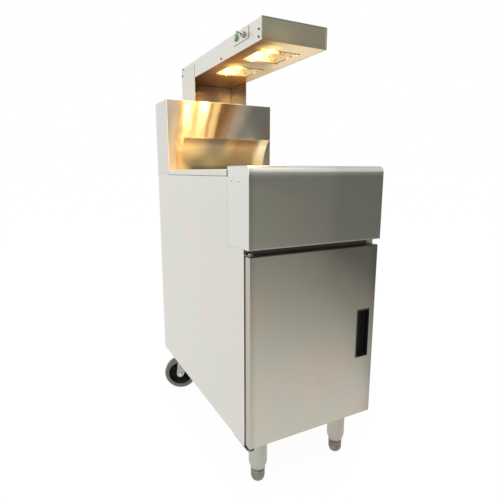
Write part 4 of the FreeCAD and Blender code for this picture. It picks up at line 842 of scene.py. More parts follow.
def fascia_steel(finish):
    """The fascia: a rolled top edge, painted shade towards its lower left, its top, its left edge and its right, and a
    painted highlight on its lip.
    """
    low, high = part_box("fascia_panel")
    return steel("Front steel", finish.front_steel, rough=0.33, waves=0.0005, clouds=6.0,
                 rolled=(high.z - 0.029, 0.11), flange=(tuple(finish.side_steel), 0.34),
                 # Painted shade towards the lower left and the top.
                 shaded=(((low.x, low.y, high.z - 0.10), (0.55, 0.0, -0.6), 0.20, 0.86),
                         ((low.x, low.y, high.z - 0.055), (0.25, 0.0, 1.0), 0.030, 0.90),
                         # A painted highlight on the lip.
                         ((low.x, low.y, low.z + 0.004), DOWN, 0.002, 2.4)),
                 # Painted shade at the left edge and towards the right.
                 deep=(((low.x + 0.022, low.y, 0.0), LEFT, 0.020, (0.80, 0.82, 0.80)),
                       ((0.012, low.y, 0.0), RIGHT, 0.050, (0.86, 0.89, 0.88))))


def nose_steel(finish):
    """The head's front: a warm grey that darkens the front steel as painted shade, browned along its lower edge by
    painted warm shade and lit there by a painted glow of the lamps.
    """
    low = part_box("head_nose")[0]
    # Painted shade: the front steel made darker and warmer.
    warm_grey = tuple(c * f for c, f in zip(finish.front_steel, (0.90, 0.86, 0.76)))
    return steel("Nose steel", warm_grey, rough=0.34, waves=0.0004, clouds=8.0,
                 # Along the lower edge painted warm shade browns the steel, and glow adds painted lamp light.
                 stain_and_lamp_shade=((low.x, low.y, low.z - 0.015), (0.10, 0.0, 1.0), 0.045, 0.75, FORWARD),
                 glow=((0.36, 0.25, 0.02), 0.085))


def door_skin_steel(finish):
    """The door: painted shade towards its upper right, along its edges and on its side flanges, and a painted shadow
    along its top edge.
    """
    low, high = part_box("door_skin")
    return steel("Door steel", finish.door_steel, rough=0.31, smudge=0.6, clouds=5.0,
                 # The side flanges' darker tone is painted shade.
                 flange=(shade(finish.door_steel, 0.74), 0.31),
                 # Painted shade towards the upper right and the right.
                 shaded=(((high.x - 0.16, low.y, high.z - 0.25), (0.75, 0.0, 0.55), 0.22, 0.60),
                         ((high.x - 0.09, low.y, 0.0), RIGHT, 0.13, 0.86),
                         ((high.x - 0.09, low.y, high.z - 0.12), (0.6, 0.0, 0.8), 0.09, 0.52)),
                 # A painted shadow along the top edge, then painted shade at the left and right edges.
                 deep=(((0.0, 0.0, high.z - 0.0025), UP, 0.001, (0.20, 0.19, 0.16)),
                       ((low.x + 0.022, 0.0, 0.0), LEFT, 0.020, (0.84, 0.84, 0.84)),
                       ((high.x - 0.040, 0.0, 0.0), RIGHT, 0.050, (0.80, 0.80, 0.80))))


def splash_steel(finish):
    """The splashback: painted reflections of the lamps' golden light in leaning streaks, painted reflections in brown
    and grey bands to their right, painted shade at its upper right and a painted highlight on its top bend.
    """
    height = 1.075
    return steel("Splash steel", (0.886, 0.735, 0.60), rough=0.24, anisotropic=1.0, along=4.0,
                 smudge=0.3, ripple=0.0005, clouds=9.0, flange=(shade(finish.side_steel, 0.93), 0.34),
                 # The brown and grey bands are painted reflections.
                 painted_reflections=((0.150, height, 0.50, 0.050, 0.050, (0.80, 0.74, 0.67)),
                         (0.032, height, 0.41, 0.028, 0.012, (0.93, 0.50, 0.23))),
                 # Painted shade at the upper right.
                 deep=(((0.045, 0.0, 1.0), (0.75, 0.0, 0.65), 0.10, (0.64, 0.64, 0.64)),),
                 # The streaks are painted reflections of the lamps, as emission.
                 streaks=((-0.079, height, 0.34, 0.056, 0.045, (0.27, 0.145, 0.035)),
                          (-0.182, height, 0.10, 0.008, 0.040, (0.19, 0.18, 0.15)),
                          (0.086, height, 0.57, 0.010, 0.045, (0.13, 0.09, 0.05)),
                          (-0.013, height, 0.27, 0.006, 0.013, (0.48, 0.36, 0.13))),
                 # The glint is a painted highlight on the top bend.
                 glint=(0.098, (1.0, 0.80, 0.40)), tooth=0.1)


def column_steel(finish):
    """The gantry's column: browned inside by painted warm shade of the lamps, with painted shade darkest in its
    corners.
    """
    low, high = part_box("gantry_column")
    return steel("Column steel", shade(finish.side_steel, 0.93), waves=0.0004, anisotropic=0.4,
                 # Painted warm shade browns the inside.
                 stain_and_lamp_shade=((low.x, low.y, high.z - 0.045), (1.0, 0.0, -0.5), 0.26, 1.0, (-0.7, -0.7, 0.0)),
                 within=high.x - 0.0006,
                 # Painted shade in the corners.
                 deep=(((-0.030, 0.0, 0.0), LEFT, 0.026, (0.60, 0.53, 0.42)),
                       ((0.078, 0.0, 0.0), RIGHT, 0.020, (0.66, 0.62, 0.54))))


def pan_steel():
    """The scoop pan: golden at its lower left with painted lamp light, a painted reflection of the lamps near its
    right end, and painted shade under its hem and near the worktop.
    """
    low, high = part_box("scoop_pan")
    return steel("Pan steel", (0.82, 0.78, 0.74), rough=0.24, along=6.0, waves=0.0003,
                 anisotropic=0.92, smudge=0.4, clouds=9.0,
                 # Painted shade under the hem and near the worktop.
                 deep=(((0.0, 0.0, high.z - 0.030), UP, 0.022, (0.56, 0.50, 0.46)),
                       ((0.0, 0.0, 0.864), DOWN, 0.022, (0.50, 0.44, 0.38))),
                 # Painted lamp light: a golden wash at the lower left, as emission.
                 wash=((low.x + 0.010, 0.0, 0.846), (1.0, 0.0, 1.1), 0.062, (0.75, 0.52, 0.14)),
                 # A painted reflection of the lamps near the right end, as emission.
                 streaks=((high.x - 0.036, 0.9, 0.1, 0.010, 0.024, (0.52, 0.36, 0.12)),))


def lamp_plate_steel():
    """The plate round the lamps: tinted tan by painted lamp light, browned by painted warm shade along its left and
    its back, with patches of painted shade, a painted halo of light at each lamp and a painted wash of their light
    along its left.
    """
    low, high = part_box("head_base_plate")
    # The tan colour of this steel is painted warm lamp light.
    return steel("Lamp plate steel", (0.90, 0.75, 0.46), waves=0.0005, anisotropic=0.3,
                 tangent="X", stain_and_lamp_shade=((low.x, high.y, low.z), (1.0, -0.06, 0.0), 0.155, 1.0, DOWN),
                 glow=((0.75, 0.60, 0.10), 0.045),
                 # Patches of painted shade, one of them a painted warm tint.
                 deep=(((-0.030, 0.090, low.z), (-0.55, 0.85, 0.0), 0.11, (0.40, 0.34, 0.28)),
                       ((0.0, 0.110, low.z), BACKWARD, 0.07, (0.82, 0.60, 0.40)),
                       ((-0.045, 0.0, low.z), (-1.0, 0.25, 0.0), 0.045, (0.76, 0.58, 0.38)),
                       ((0.020, 0.060, low.z), (1.0, 0.6, 0.0), 0.05, (1.0, 0.90, 0.58)),
                       ((low.x + 0.045, 0.0, low.z), LEFT, 0.050, (0.66, 0.48, 0.28))),
                 # Painted lamp light: a warm wash along the left, as emission.
                 wash=((low.x + 0.02, 0.0, low.z), (1.0, 0.9, 0.0), 0.10, (0.085, 0.028, 0.003)))


# ---------------------------------------------------------------- the pieces

class CHIPWARMER_OT_sheets(bpy.types.Operator):
    """Gives the folded sheets, brackets and inner parts their finishes"""

    bl_idname = "chip_warmer.sheets"
    bl_label = "Sheet metal and brackets"

    def execute(self, context):
        finish = context.scene.chip_warmer_finish
        side = steel("Side steel", finish.side_steel, rough=0.34, waves=0.0005, anisotropic=0.35, dust=True,
                     smudge=0.35, clouds=6.5, cloudy=0.45)
        finish_node(side, "side_panel_left", "side_panel_right", "gantry_arms", "head_cover", "pan_rail_left",
                    "pan_rail_right", "pan_rail_rear")
        finish_node(fascia_steel(finish), "fascia_panel")
        finish_node(nose_steel(finish), "head_nose")
        shadowed = steel("Rail steel", shade(finish.front_steel, 0.30), rough=0.36, waves=0.0003, smudge=0.8)
        finish_node(shadowed, "cross_rail")
        finish_node(door_skin_steel(finish), "door_skin")
        finish_node(splash_steel(finish), "splash_panel", "splash_angles")
        finish_node(column_steel(finish), "gantry_column")
        finish_node(pan_steel(), "scoop_pan", "drain_plate")
        finish_node(lamp_plate_steel(), "head_base_plate")
        inner = steel("Inner steel", (0.735, 0.745, 0.75), rough=0.38, waves=0.0005, anisotropic=0.4, dust=True)
        finish_node(inner, "base_panel", "back_panel", "splash_rear_cover", "column_rear_cover", "door_liner")
        plate = steel("Control plate", shade(finish.side_steel, 0.98), along=20.0,
                      across_grain=2200.0, waves=0.0, anisotropic=0.2, smudge=0.2)
        finish_node(plate, "control_plate")
        finish_node(plated("Hinge steel", (0.21, 0.205, 0.185), rough=0.30), "hinge_bracket_top",
                    "hinge_bracket_bottom")
        finish_node(plated("Zinc plate", finish.dull_steel), "strike_plate", "hinge_pins", "leg_plates", "plate_bolts",
                    "castor_plates", "king_pins", "castor_axle_left", "castor_axle_right", "switch_body")
        finish_node(plated("Dark zinc", (0.30, 0.29, 0.27)), "switch_nut")
        finish_node(plated("Oiled bronze", (0.30, 0.25, 0.18), rough=0.38), "door_bushes")
        finish_node(moulded("Black plastic", finish.black_plastic), "door_catch", "cable_gland")
        white = moulded("White plastic", (0.72, 0.72, 0.69), rough=0.45, dust=0.15)
        finish_node(white, "terminal_block", "cable_conduit")
        finish_node(glowing_reflector("Reflector", lamp_centres()[0]), "reflector_front", "reflector_rear")
        finish_node(ceramic("Ceramic", finish.ceramic), "lamp_holders", "lamp_caps")
        return {"FINISHED"}


def screw_heads(name, node, depth, material, body, width=1.0):
    """Domed heads with a cross recess, one for each loose solid of a node, at a share of its width, and smaller on the
    lamp head. The profile is a shallow dome, and the recess is lowered where either local coordinate is near zero:
    depth times a soft step."""
    low, high = islands(node)
    lamp_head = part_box("gantry_column")[0].z
    smaller, tallest, nearly_cubic, rings = 0.66, 0.0022, 0.002, 10
    surfaces = []
    for corner, far in zip(low, high):
        centre, span = (corner + far) / 2, far - corner
        thin = 0 if np.ptp(span) < nearly_cubic else int(np.argmin(span))
        outwards = thin < 2 and centre[thin] > 0
        axis = np.eye(3)[thin] * (1.0 if outwards else -1.0)
        head = width * (smaller if centre[2] > lamp_head else 1.0) * span[(thin + 1) % 3] / 2
        rise = min(tallest, span.min())
        top = centre.copy()
        top[thin] = (far if outwards else corner)[thin]
        flat = 0.62 * head
        dome = softened([(0.0, 0.0), (head, 0.0), (head, 0.28 * rise), (0.80 * head, 0.80 * rise),
                         (0.45 * head, rise), (0.0, rise)], 0.16 * head, 3)
        inner = np.stack([np.linspace(flat, 0.0, rings), np.full(rings, rise)], axis=1)
        profile = np.vstack([[(0.0, 0.0)], dome[dome[:, 0] > flat], inner])

        def recess(r, h, a, slit=0.15 * head, reach=0.55 * head, middle=0.5 * rise):
            near = np.minimum(np.abs(r * np.cos(a)), np.abs(r * np.sin(a))) / slit
            deep = np.clip(1.6 - near, 0, 1) * np.clip(3.0 - 3.0 * r / reach, 0, 1)
            return r, h - np.where(h > middle, depth * deep, 0.0)

        surfaces.append((turned(profile, top - axis * rise, axis, 32, recess), False, True))
    piece(name, surfaces, material, body, [node])


def bar(low, high, edge=0.0002):
    """A strip with soft long edges: a rounded rectangle of x and z carried from the near y to the far y."""
    low, high = np.asarray(low, float), np.asarray(high, float)
    return capped([
        rounded_loop(low[0] + inset, high[0] - inset, low[2] + inset, high[2] - inset, edge, y, 3)
        for inset, y in ((edge, low[1]), (0.0, low[1] + edge), (0.0, high[1] - edge), (edge, high[1]))])


class CHIPWARMER_OT_shadow_strips(bpy.types.Operator):
    """Makes dark strips of painted shadow beside the fascia and at the gantry, and a dark line of painted shadow round
    the control plate
    """

    bl_idname = "chip_warmer.seals"
    bl_label = "Shadow strips and line"

    def execute(self, context):
        # These dark pieces are painted shadow in the gaps and along the joints.
        rubber = moulded("Shadow black", (0.012, 0.012, 0.011), rough=0.7, scale=2500.0, dust=0.1)
        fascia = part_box("fascia_panel")[1].y
        strips, depth, lap, proud, seam = [], 0.010, 0.0016, 0.0004, 0.0006
        for side in ("left", "right"):
            low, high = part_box("pan_rail_" + side)
            outer, inward = (low.x, 1.0) if side == "left" else (high.x, -1.0)
            ends = sorted((outer - proud * inward, outer + depth * inward))
            strips.append(bar((ends[0], fascia - seam, low.z - proud), (ends[1], low.y + lap, high.z - proud)))
            ends = sorted((outer - 0.5 * proud * inward, outer + seam * inward))
            strips.append(bar((ends[0], low.y, low.z - 0.5 * proud), (ends[1], high.y, low.z + 0.5 * proud), 0.0001))
        low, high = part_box("gantry_column")
        below, above = 0.034, 0.004
        strips.append(bar((low.x - proud, low.y - proud, high.z - below),
                          (low.x + 0.5 * proud, low.y + 0.0005, high.z + above)))
        head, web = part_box("head_base_plate")
        bead, sheet, bed = 0.0007, 0.0014, 0.0001
        under, over = head.z - 0.0010, head.z + bed
        strips.append(bar((low.x + sheet, web.y - bead, under), (high.x - sheet, web.y - bed, over)))
        strips.append(bar((high.x - 0.0020, low.y + 0.0005, under), (high.x - 0.0013, web.y - bead, over)))
        piece("notch_shadow_strips", strips, rubber, "cabinet")
        low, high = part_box("control_plate")
        hidden, margin, bevel, thick, corner = 0.004, 0.0009, 0.0002, 0.0005, 0.0055
        loops = []
        for inset, x in ((hidden, high.x), (-margin, high.x), (-margin, high.x - thick + bevel),
                         (bevel - margin, high.x - thick), (hidden, high.x - thick)):
            flat = rounded_loop(low.y + inset, high.y - inset, low.z + inset, high.z - inset, corner, 0.0, 6)
            loops.append(np.stack([np.full(len(flat), x), flat[:, 0], flat[:, 2]], axis=1))
        piece("plate_shadow_line", [(np.stack(loops), True, True)], rubber, "cabinet")
        return {"FINISHED"}


class CHIPWARMER_OT_trims(bpy.types.Operator):
    """Makes the dark trim at the front edge of each lamp opening, with a peg in the corner relief"""

    bl_idname = "chip_warmer.trims"
    bl_label = "Opening trims"

    def execute(self, context):
        # A plain dark metal for the strip at each opening's front edge and the peg in its corner relief.
        bronze = plated("Dark trim metal", (0.10, 0.07, 0.045), rough=0.5)
        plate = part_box("head_base_plate")[0].z
        half_width, half_length, thick, start = 0.057, 0.060, 0.0006, 0.012
        peg_radius, neck, peg_rise, chamfer = 0.0031, 0.0027, 0.0016, 0.0003
        foot = -thick - 0.0002
        peg = [(0.0, foot), (peg_radius - chamfer, foot), (peg_radius, foot + chamfer), (peg_radius, 0.0),
               (neck, 0.0001), (neck, peg_rise), (0.0, peg_rise)]
        trims = []
        for centre in lamp_centres():
            edge = centre[1] - half_length
            near, far = edge - 0.0007, edge + 0.0009
            corners = rounded_loop(centre[0] - start, centre[0] + half_width, 0.0, far - near, thick, 0.0, 3)
            rows = [np.stack([corners[:, 0], corners[:, 2] + near, np.full(len(corners), z)], axis=1)
                    for z in (plate - thick, plate + thick)]
            trims.append(capped(rows))
            trims.append((turned(peg, (centre[0] + half_width, edge, plate), UP, 24), False, True))
        piece("opening_trims", trims, bronze, "cabinet")
        return {"FINISHED"}


class CHIPWARMER_OT_screws(bpy.types.Operator):
    """Makes the cross-recessed screws of the panels and the hinges"""

    bl_idname = "chip_warmer.screws"
    bl_label = "Screws"

    def execute(self, context):
        sizes = context.scene.chip_warmer_sizes
        # The darker front sides of the higher screws are painted shade.
        bright = plated("Screw steel", (0.80, 0.79, 0.76), rough=0.16, painted_shade=((0.03, 0.03, 0.028), 1.10))
        screw_heads("sheet_screws", "panel_screws", sizes.recess_depth, bright, "cabinet")
        screw_heads("fine_screws", "small_screws", 0.6 * sizes.recess_depth,
                    plated("Small screw steel", (0.40, 0.39, 0.37), rough=0.2), "cabinet", 0.72)
        return {"FINISHED"}


class CHIPWARMER_OT_controls(bpy.types.Operator):
    """Makes the pilot lamp and the toggle lever"""

    bl_idname = "chip_warmer.controls"
    bl_label = "Pilot lamp and switch"

    def execute(self, context):
        sizes, finish = context.scene.chip_warmer_sizes, context.scene.chip_warmer_finish
        chrome = plated("Satin chrome", (0.33, 0.32, 0.31), rough=0.22)
        low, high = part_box("pilot_lens")
        dome, half = high.x - low.x, (high.z - low.z) / 2
        angle = np.linspace(math.pi / 2, 0.0, 14)
        profile = np.vstack([[(0.0, 0.0)], np.stack([half * np.sin(angle), dome * np.cos(angle)], axis=1)])

        def ribs(r, h, a):
            wave = 0.5 + 0.5 * np.cos(sizes.lens_ribs * a)
            return r, h * (1.0 - 0.10 * wave * np.clip(r / half, 0, 1) ** 2)

        piece("pilot_dome", [(turned(profile, pilot_centre(), LEFT, 144, ribs), False, True)],
              pilot_green("Pilot green", finish.lens_green), "cabinet", ["pilot_lens"])
        low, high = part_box("pilot_body")
        bezel, barrel = (high.z - low.z) / 2, 0.71 * (high.z - low.z) / 2
        length = high.x - low.x
        base = (high.x, (low.y + high.y) / 2, (low.z + high.z) / 2)
        flange, shoulder, seat = length - 0.002, length - 0.0011, length - 0.0006
        ring = [(0.0, 0.0), (barrel, 0.0), (barrel, flange), (bezel, flange), (bezel, shoulder),
                (0.93 * bezel, length), (0.83 * bezel, length), (0.80 * bezel, seat), (0.0, seat)]
        piece("pilot_bezel", [(turned(softened(ring, 0.0005), base, LEFT, 64), False, True)],
              chrome, "cabinet", ["pilot_body"])

        pivot = np.array(joint("switch_lever_tilt")["pos_m"])
        low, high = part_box("toggle_lever")
        tilt = math.radians(15.0)
        way = np.array([-math.cos(tilt), 0.0, math.sin(tilt)])
        ball, tip = (high.y - low.y) / 2, 0.0028
        reach = (pivot[0] - low.x - tip) / math.cos(tilt) + tip
        arc = np.linspace(0.0, 0.80 * math.pi, 14)
        root = np.stack([ball * np.sin(arc), -ball * np.cos(arc)], axis=1)
        end = np.linspace(math.pi / 2, 0.0, 9)
        bat = np.stack([tip * np.sin(end), reach - tip + tip * np.cos(end)], axis=1)
        neck = [(0.0015, 0.0066), (0.0018, 0.0095), (0.0024, 0.0135)]
        profile = np.vstack([root, neck, bat])
        piece("bat_lever", [(turned(profile, pivot, way, 32), False, True)], chrome, "switch_lever",
              ["toggle_lever"])
        return {"FINISHED"}


class CHIPWARMER_OT_lamps(bpy.types.Operator):
    """Makes the quartz tubes with their pinched ends and glowing coils"""

    bl_idname = "chip_warmer.lamps"
    bl_label = "Quartz lamps"

    def execute(self, context):
        scene = context.scene
        sizes, finish, stage = scene.chip_warmer_sizes, scene.chip_warmer_finish, scene.chip_warmer_stage
        neck, pinch, shoulder, gap, slope, per_turn = 0.0031, 0.0012, 0.004, 0.002, 0.005, 14
        tubes, coils = [], []
        for corner, far in zip(*islands("quartz_tubes")):
            centre = (corner + far) / 2
            half, radius = (far[0] - corner[0]) / 2, (far[2] - corner[2]) / 2
            body, coil = half - 0.0042, half - 0.0202
            outside = [(0.0, -half), (neck, -half), (neck, -body - pinch), (radius, -body + shoulder),
                       (radius, body - shoulder), (neck, body + pinch), (neck, half), (0.0, half)]
            tubes.append((turned(softened(outside, 0.003, 6), centre, RIGHT, 32), False, True))
            bore = radius - sizes.tube_wall
            inside = [(0.0, gap - body), (bore, gap + slope - body), (bore, body - gap - slope), (0.0, body - gap)]
            tubes.append((turned(softened(inside, 0.003, 6), centre, RIGHT, 32)[::-1], False, True))
            along = np.linspace(-1.0, 1.0, sizes.filament_turns * per_turn)
            turn = along * sizes.filament_turns * math.pi
            taper = np.clip((1.0 - np.abs(along)) / 0.06, 0.15, 1.0) * sizes.filament_radius
            path = centre + np.stack([along * coil, taper * np.cos(turn), taper * np.sin(turn)], axis=1)
            coils.append((swept(path, sizes.filament_wire, 6), False, True))
        glass = piece("lamp_tubes", tubes, quartz("Quartz"), "cabinet", ["quartz_tubes"])
        glass.visible_shadow = False
        piece("lamp_coils", coils, filament("Filament", finish.lamp_glow, stage.filament_strength),
              "cabinet")
        return {"FINISHED"}


class CHIPWARMER_OT_pocket(bpy.types.Operator):
    """Makes the moulded finger pocket in the door"""

    bl_idname = "chip_warmer.pocket"
    bl_label = "Handle pocket"

    def execute(self, context):
        low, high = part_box("handle_pocket")
        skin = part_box("door_skin")[0].y
        front, back = low.y, high.y
        rim, wall, bevel, edge = 0.0025, 0.0016, 0.007, context.scene.chip_warmer_sizes.pocket_edge
        floor, deep, half = back - wall, rim + wall, 0.5 * (high.x - low.x) - 0.0005

        def loop(inset, y, radius, bevel_share=0.0):
            return rounded_loop(low.x + inset + bevel * bevel_share, high.x - inset, low.z + inset,
                                high.z - inset, radius, y)

        rows = [loop(half, back, 0.0004), loop(rim + 0.001, back, 0.001),
                loop(rim, back - 0.001, 0.0014), loop(rim, skin, 0.0018), loop(0.0, skin, 0.003),
                loop(0.0, front + edge, 0.003), loop(0.3 * edge, front + 0.3 * edge, 0.003),
                loop(edge, front, 0.0026), loop(deep - 0.6 * edge, front, 0.0022),
                loop(deep - 0.15 * edge, front + 0.25 * edge, 0.0020), loop(deep, front + edge, 0.0018),
                loop(deep, skin + 0.0012, 0.0016, 0.06), loop(deep, skin + 0.0070, 0.0016, 0.52),
                loop(deep, floor - 0.0012, 0.0016, 0.93), loop(deep + 0.0004, floor - 0.0003, 0.0016, 1.0),
                loop(deep + 0.0014, floor, 0.0014, 1.0), loop(half - 0.5 * bevel, floor, 0.0004, 1.0)]
        # The pocket's paler rim at the left and the top is a painted highlight.
        black = moulded("Pocket plastic", context.scene.chip_warmer_finish.black_plastic, rough=0.45, scale=2200.0,
                        dust=0.05, gloss=0.18, rim=((low.x, front, high.z), (0.030, 0.031, 0.025)))
        piece("finger_pocket", [capped(rows)], black, "door", ["handle_pocket"], sharp=50.0)
        return {"FINISHED"}


class CHIPWARMER_OT_legs(bpy.types.Operator):
    """Makes the tapered legs and the bullet feet"""

    bl_idname = "chip_warmer.legs"
    bl_label = "Legs and feet"

    def execute(self, context):
        sizes, finish = context.scene.chip_warmer_sizes, context.scene.chip_warmer_finish
        collar, taper = 0.0420, 0.0560
        satin = steel("Leg steel", (0.54, 0.525, 0.485), along=30.0, waves=0.0, anisotropic=0.5, scuffs=0.07,
                      deep=(((0.0, 0.0, collar + 0.0005), DOWN, 0.0012, (0.42, 0.42, 0.41)),))
        bore, narrow, wall, plug = 0.00805, 0.0200, 0.0015, 0.016
        legs = []
        for corner, far in zip(*islands("leg_tubes")):
            centre = (corner + far) / 2 * (1.0, 1.0, 0.0)
            radius, foot, top = (far[0] - corner[0]) / 2, corner[2], far[2]
            profile = [(bore, foot), (narrow, foot), (narrow, collar), (radius, taper), (radius, top),
                       (radius - wall, top), (radius - wall, taper), (bore, foot + plug)]
            soft = softened(profile + profile[:1], sizes.leg_edge, 7)[:-1]
            legs.append((turned(soft, centre, UP, 64), True, True))
        piece("tapered_legs", legs, satin, "cabinet", ["leg_tubes"])
        mottled = plated("Foot zinc", shade(finish.door_steel, 0.42), rough=0.40, scuffs=0.05)
        for side in ("foot_left", "foot_right"):
            low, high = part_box(side)
            centre = ((low.x + high.x) / 2, (low.y + high.y) / 2, 0.0)
            radius, stem, shoulder, rim = (high.x - low.x) / 2, 0.008, 0.0322, 0.0330
            waist, soft = radius - 0.0009, 0.0008
            arc = np.linspace(0.0, math.pi / 2, 10)
            nose = np.stack([stem + (radius - stem) * np.sin(arc), 0.017 * (1.0 - np.cos(arc))], axis=1)
            step = [(radius, 0.0215), (waist, 0.0222)]
            side_band = [(radius, h) for h in np.linspace(0.0250, shoulder, 6)]
            top = [(radius - soft, rim), (stem, rim), (stem, high.z), (0.0, high.z)]
            profile = np.vstack([[(0.0, 0.0)], nose, step, side_band, top])

            def grip(r, h, a, radius=radius):
                band = np.clip((h - 0.0255) / soft, 0, 1) * np.clip((0.0318 - h) / soft, 0, 1)
                ridge = np.clip(np.cos(sizes.foot_grooves * a), 0, 1) ** 2
                return r - 0.0006 * ridge * band * (r > 0.9 * radius), h

            piece("bullet_" + side, [(turned(profile, centre, UP, 120, grip), False, True)],
                  mottled, side, [side])
        return {"FINISHED"}


class CHIPWARMER_OT_castors(bpy.types.Operator):
    """Makes the castors' ribbed hubs and tyres, and finishes their forks"""

    bl_idname = "chip_warmer.castors"
    bl_label = "Castors"

    def execute(self, context):
        sizes, finish = context.scene.chip_warmer_sizes, context.scene.chip_warmer_finish
        zinc = plated("Fork zinc", shade(finish.dull_steel, 0.78), rough=0.36, scuffs=0.12)
        finish_node(zinc, "castor_fork_left", "castor_fork_right")
        hub_black = moulded("Hub plastic", finish.black_plastic, rough=0.50, scale=1400.0, dust=0.05,
                            gloss=0.12, scuffs=0.03)
        rubber = moulded("Tyre rubber", finish.tyre_rubber, rough=0.62, scale=900.0, depth=0.0001, dust=0.3,
                         gloss=0.25, scuffs=0.05)
        for side in ("left", "right"):
            spin = joint("wheel_" + side + "_spin")
            centre, axis = np.array(spin["pos_m"]), unit(spin["axis"])
            half, rim, seat, foot, plate = 0.016, 0.0405, 0.0435, 0.0160, 0.0072
            bore, boss, stand, soft = 0.00505, 0.015, 0.018, 0.002
            face = softened([(bore, stand), (boss - 0.001, stand), (boss, stand - 0.001), (foot + 0.001, plate),
                             (rim - 0.003, plate), (rim - 0.0013, plate + 0.0006), (rim, half - 0.0006),
                             (rim + 0.0006, half), (seat, half)], 0.0012, 4)
            fine = np.linspace(0.0, 1.0, 90)
            lengths = np.concatenate([[0.0], np.cumsum(np.linalg.norm(np.diff(face, axis=0), axis=1))])
            face = np.stack([np.interp(fine * lengths[-1], lengths, face[:, k]) for k in (0, 1)], axis=1)
            profile = np.vstack([face, face[::-1] * (1.0, -1.0)])

            def ribbed(r, h, a):
                web = np.clip((r - foot) / soft, 0, 1) * np.clip((rim - r) / soft, 0, 1)
                rib = np.clip(6.0 * np.cos(sizes.wheel_spokes * a) - 4.7, 0, 1)
                slope = 0.0135 - 0.10 * (r - foot)
                raised = np.maximum(np.abs(h), slope * rib * web)
                return r, np.where(np.abs(h) < half - 0.0005, np.sign(h) * raised, h)

            piece("ribbed_hub_" + side, [(turned(profile, centre, axis, 192, ribbed), True, True)], hub_black,
                  "wheel_" + side, ["castor_hub_" + side])
            outer, shoulder = 0.060, 0.007
            arc = np.linspace(0.0, math.pi / 2, 8)
            round_edge = np.stack([outer - shoulder + shoulder * np.sin(arc),
                                   half - shoulder + shoulder * np.cos(arc)], axis=1)
            side_wall = [(seat, half - 0.0004), (seat + 0.0012, half), (seat + 0.0016, half - 0.0005),
                         (seat + 0.0021, half)]
            tread = np.stack([np.full(5, outer), np.linspace(half - shoulder - 0.002, 0.0, 5)], axis=1)
            upper = np.vstack([side_wall, round_edge, tread])
            band = np.vstack([upper, (upper * (1.0, -1.0))[-2::-1]])
            piece("tyre_band_" + side, [(turned(band, centre, axis, 128), True, True)], rubber,
                  "wheel_" + side, ["castor_tyre_" + side])
        return {"FINISHED"}


# ---------------------------------------------------------------- the stage

def soft_lamp(name, place, target, size, power, colour):
    """A large square lamp that faces a point."""
    light = bpy.data.lights.new(name, "AREA")
    light.shape = "SQUARE"
    light.size = size
    light.energy = power
    light.color = colour
    lamp = bpy.data.objects.new(name, light)
    bpy.context.scene.collection.objects.link(lamp)
    lamp.location = place
    way = unit(np.subtract(place, target))
    lamp.rotation_euler = (math.acos(way[2]), 0.0, math.atan2(way[1], way[0]) + math.pi / 2)
    return lamp


def studio_world():
    """White where the camera looks; round the object a bright studio whose front end is darker, so that the
    steel has something to mirror."""
    world = bpy.data.worlds.new("Studio")
    bpy.context.scene.world = world
    tree = blank_tree(world)
    way = Value(add(tree, "ShaderNodeTexCoord").outputs["Generated"])
    dim = ramp(dot(way, tuple(unit((0.66, -0.75, -0.05)))), 0.25, 0.85) * fading(parts(way)[2], 0.30, 0.58)
    mirrored = mixed(dim, (0.97, 0.965, 0.94), (0.15, 0.152, 0.126))
    colour = mixed(light_path(tree, "Is Glossy Ray"), (0.80, 0.80, 0.79), mirrored)
    colour = mixed(seen(tree), colour, (1.0, 1.0, 1.0))
    shader = add(tree, "ShaderNodeBackground", {"Color": colour, "Strength": 1.0})
    add(tree, "ShaderNodeOutputWorld", {"Surface": shader.outputs[0]})


def floor_material():
    """Pale floor: white to the eye with the object's shadow kept, and to glossy rays a glow that is pale near the
    object and fades to dark in front of it, for the steel to mirror."""
    material = bpy.data.materials.new("Pale floor")
    tree = blank_tree(material)
    place = Value(add(tree, "ShaderNodeTexCoord").outputs["Object"])
    mirrored_floor_glow = coloured(dot(place, (0.8, -0.6, 0.0)) / 4.0, [
        (0.0, (0.93, 0.92, 0.89)), (0.06, (0.80, 0.79, 0.76)), (0.13, (0.745, 0.745, 0.71)),
        (0.20, (0.71, 0.71, 0.68)), (0.28, (0.51, 0.50, 0.45)), (0.42, (0.33, 0.32, 0.28)),
        (0.60, (0.24, 0.23, 0.195)), (0.80, (0.14, 0.135, 0.115)), (1.0, (0.12, 0.12, 0.10))])
    plain = mixed(noise(place, 35.0, 4.0), (0.80, 0.80, 0.79), (0.83, 0.83, 0.82))
    diffuse = add(tree, "ShaderNodeBsdfDiffuse", {"Color": plain})
    eye = seen(tree)
    glow = add(tree, "ShaderNodeEmission", {"Color": mixed(eye, mirrored_floor_glow, (1.04, 1.04, 1.04)), "Strength": 1.0})
    share = most(eye, light_path(tree, "Is Glossy Ray")) * 0.90
    both = add(tree, "ShaderNodeMixShader", {0: share, 1: diffuse.outputs[0], 2: glow.outputs[0]})
    add(tree, "ShaderNodeOutputMaterial", {"Surface": both.outputs[0]})
    return material


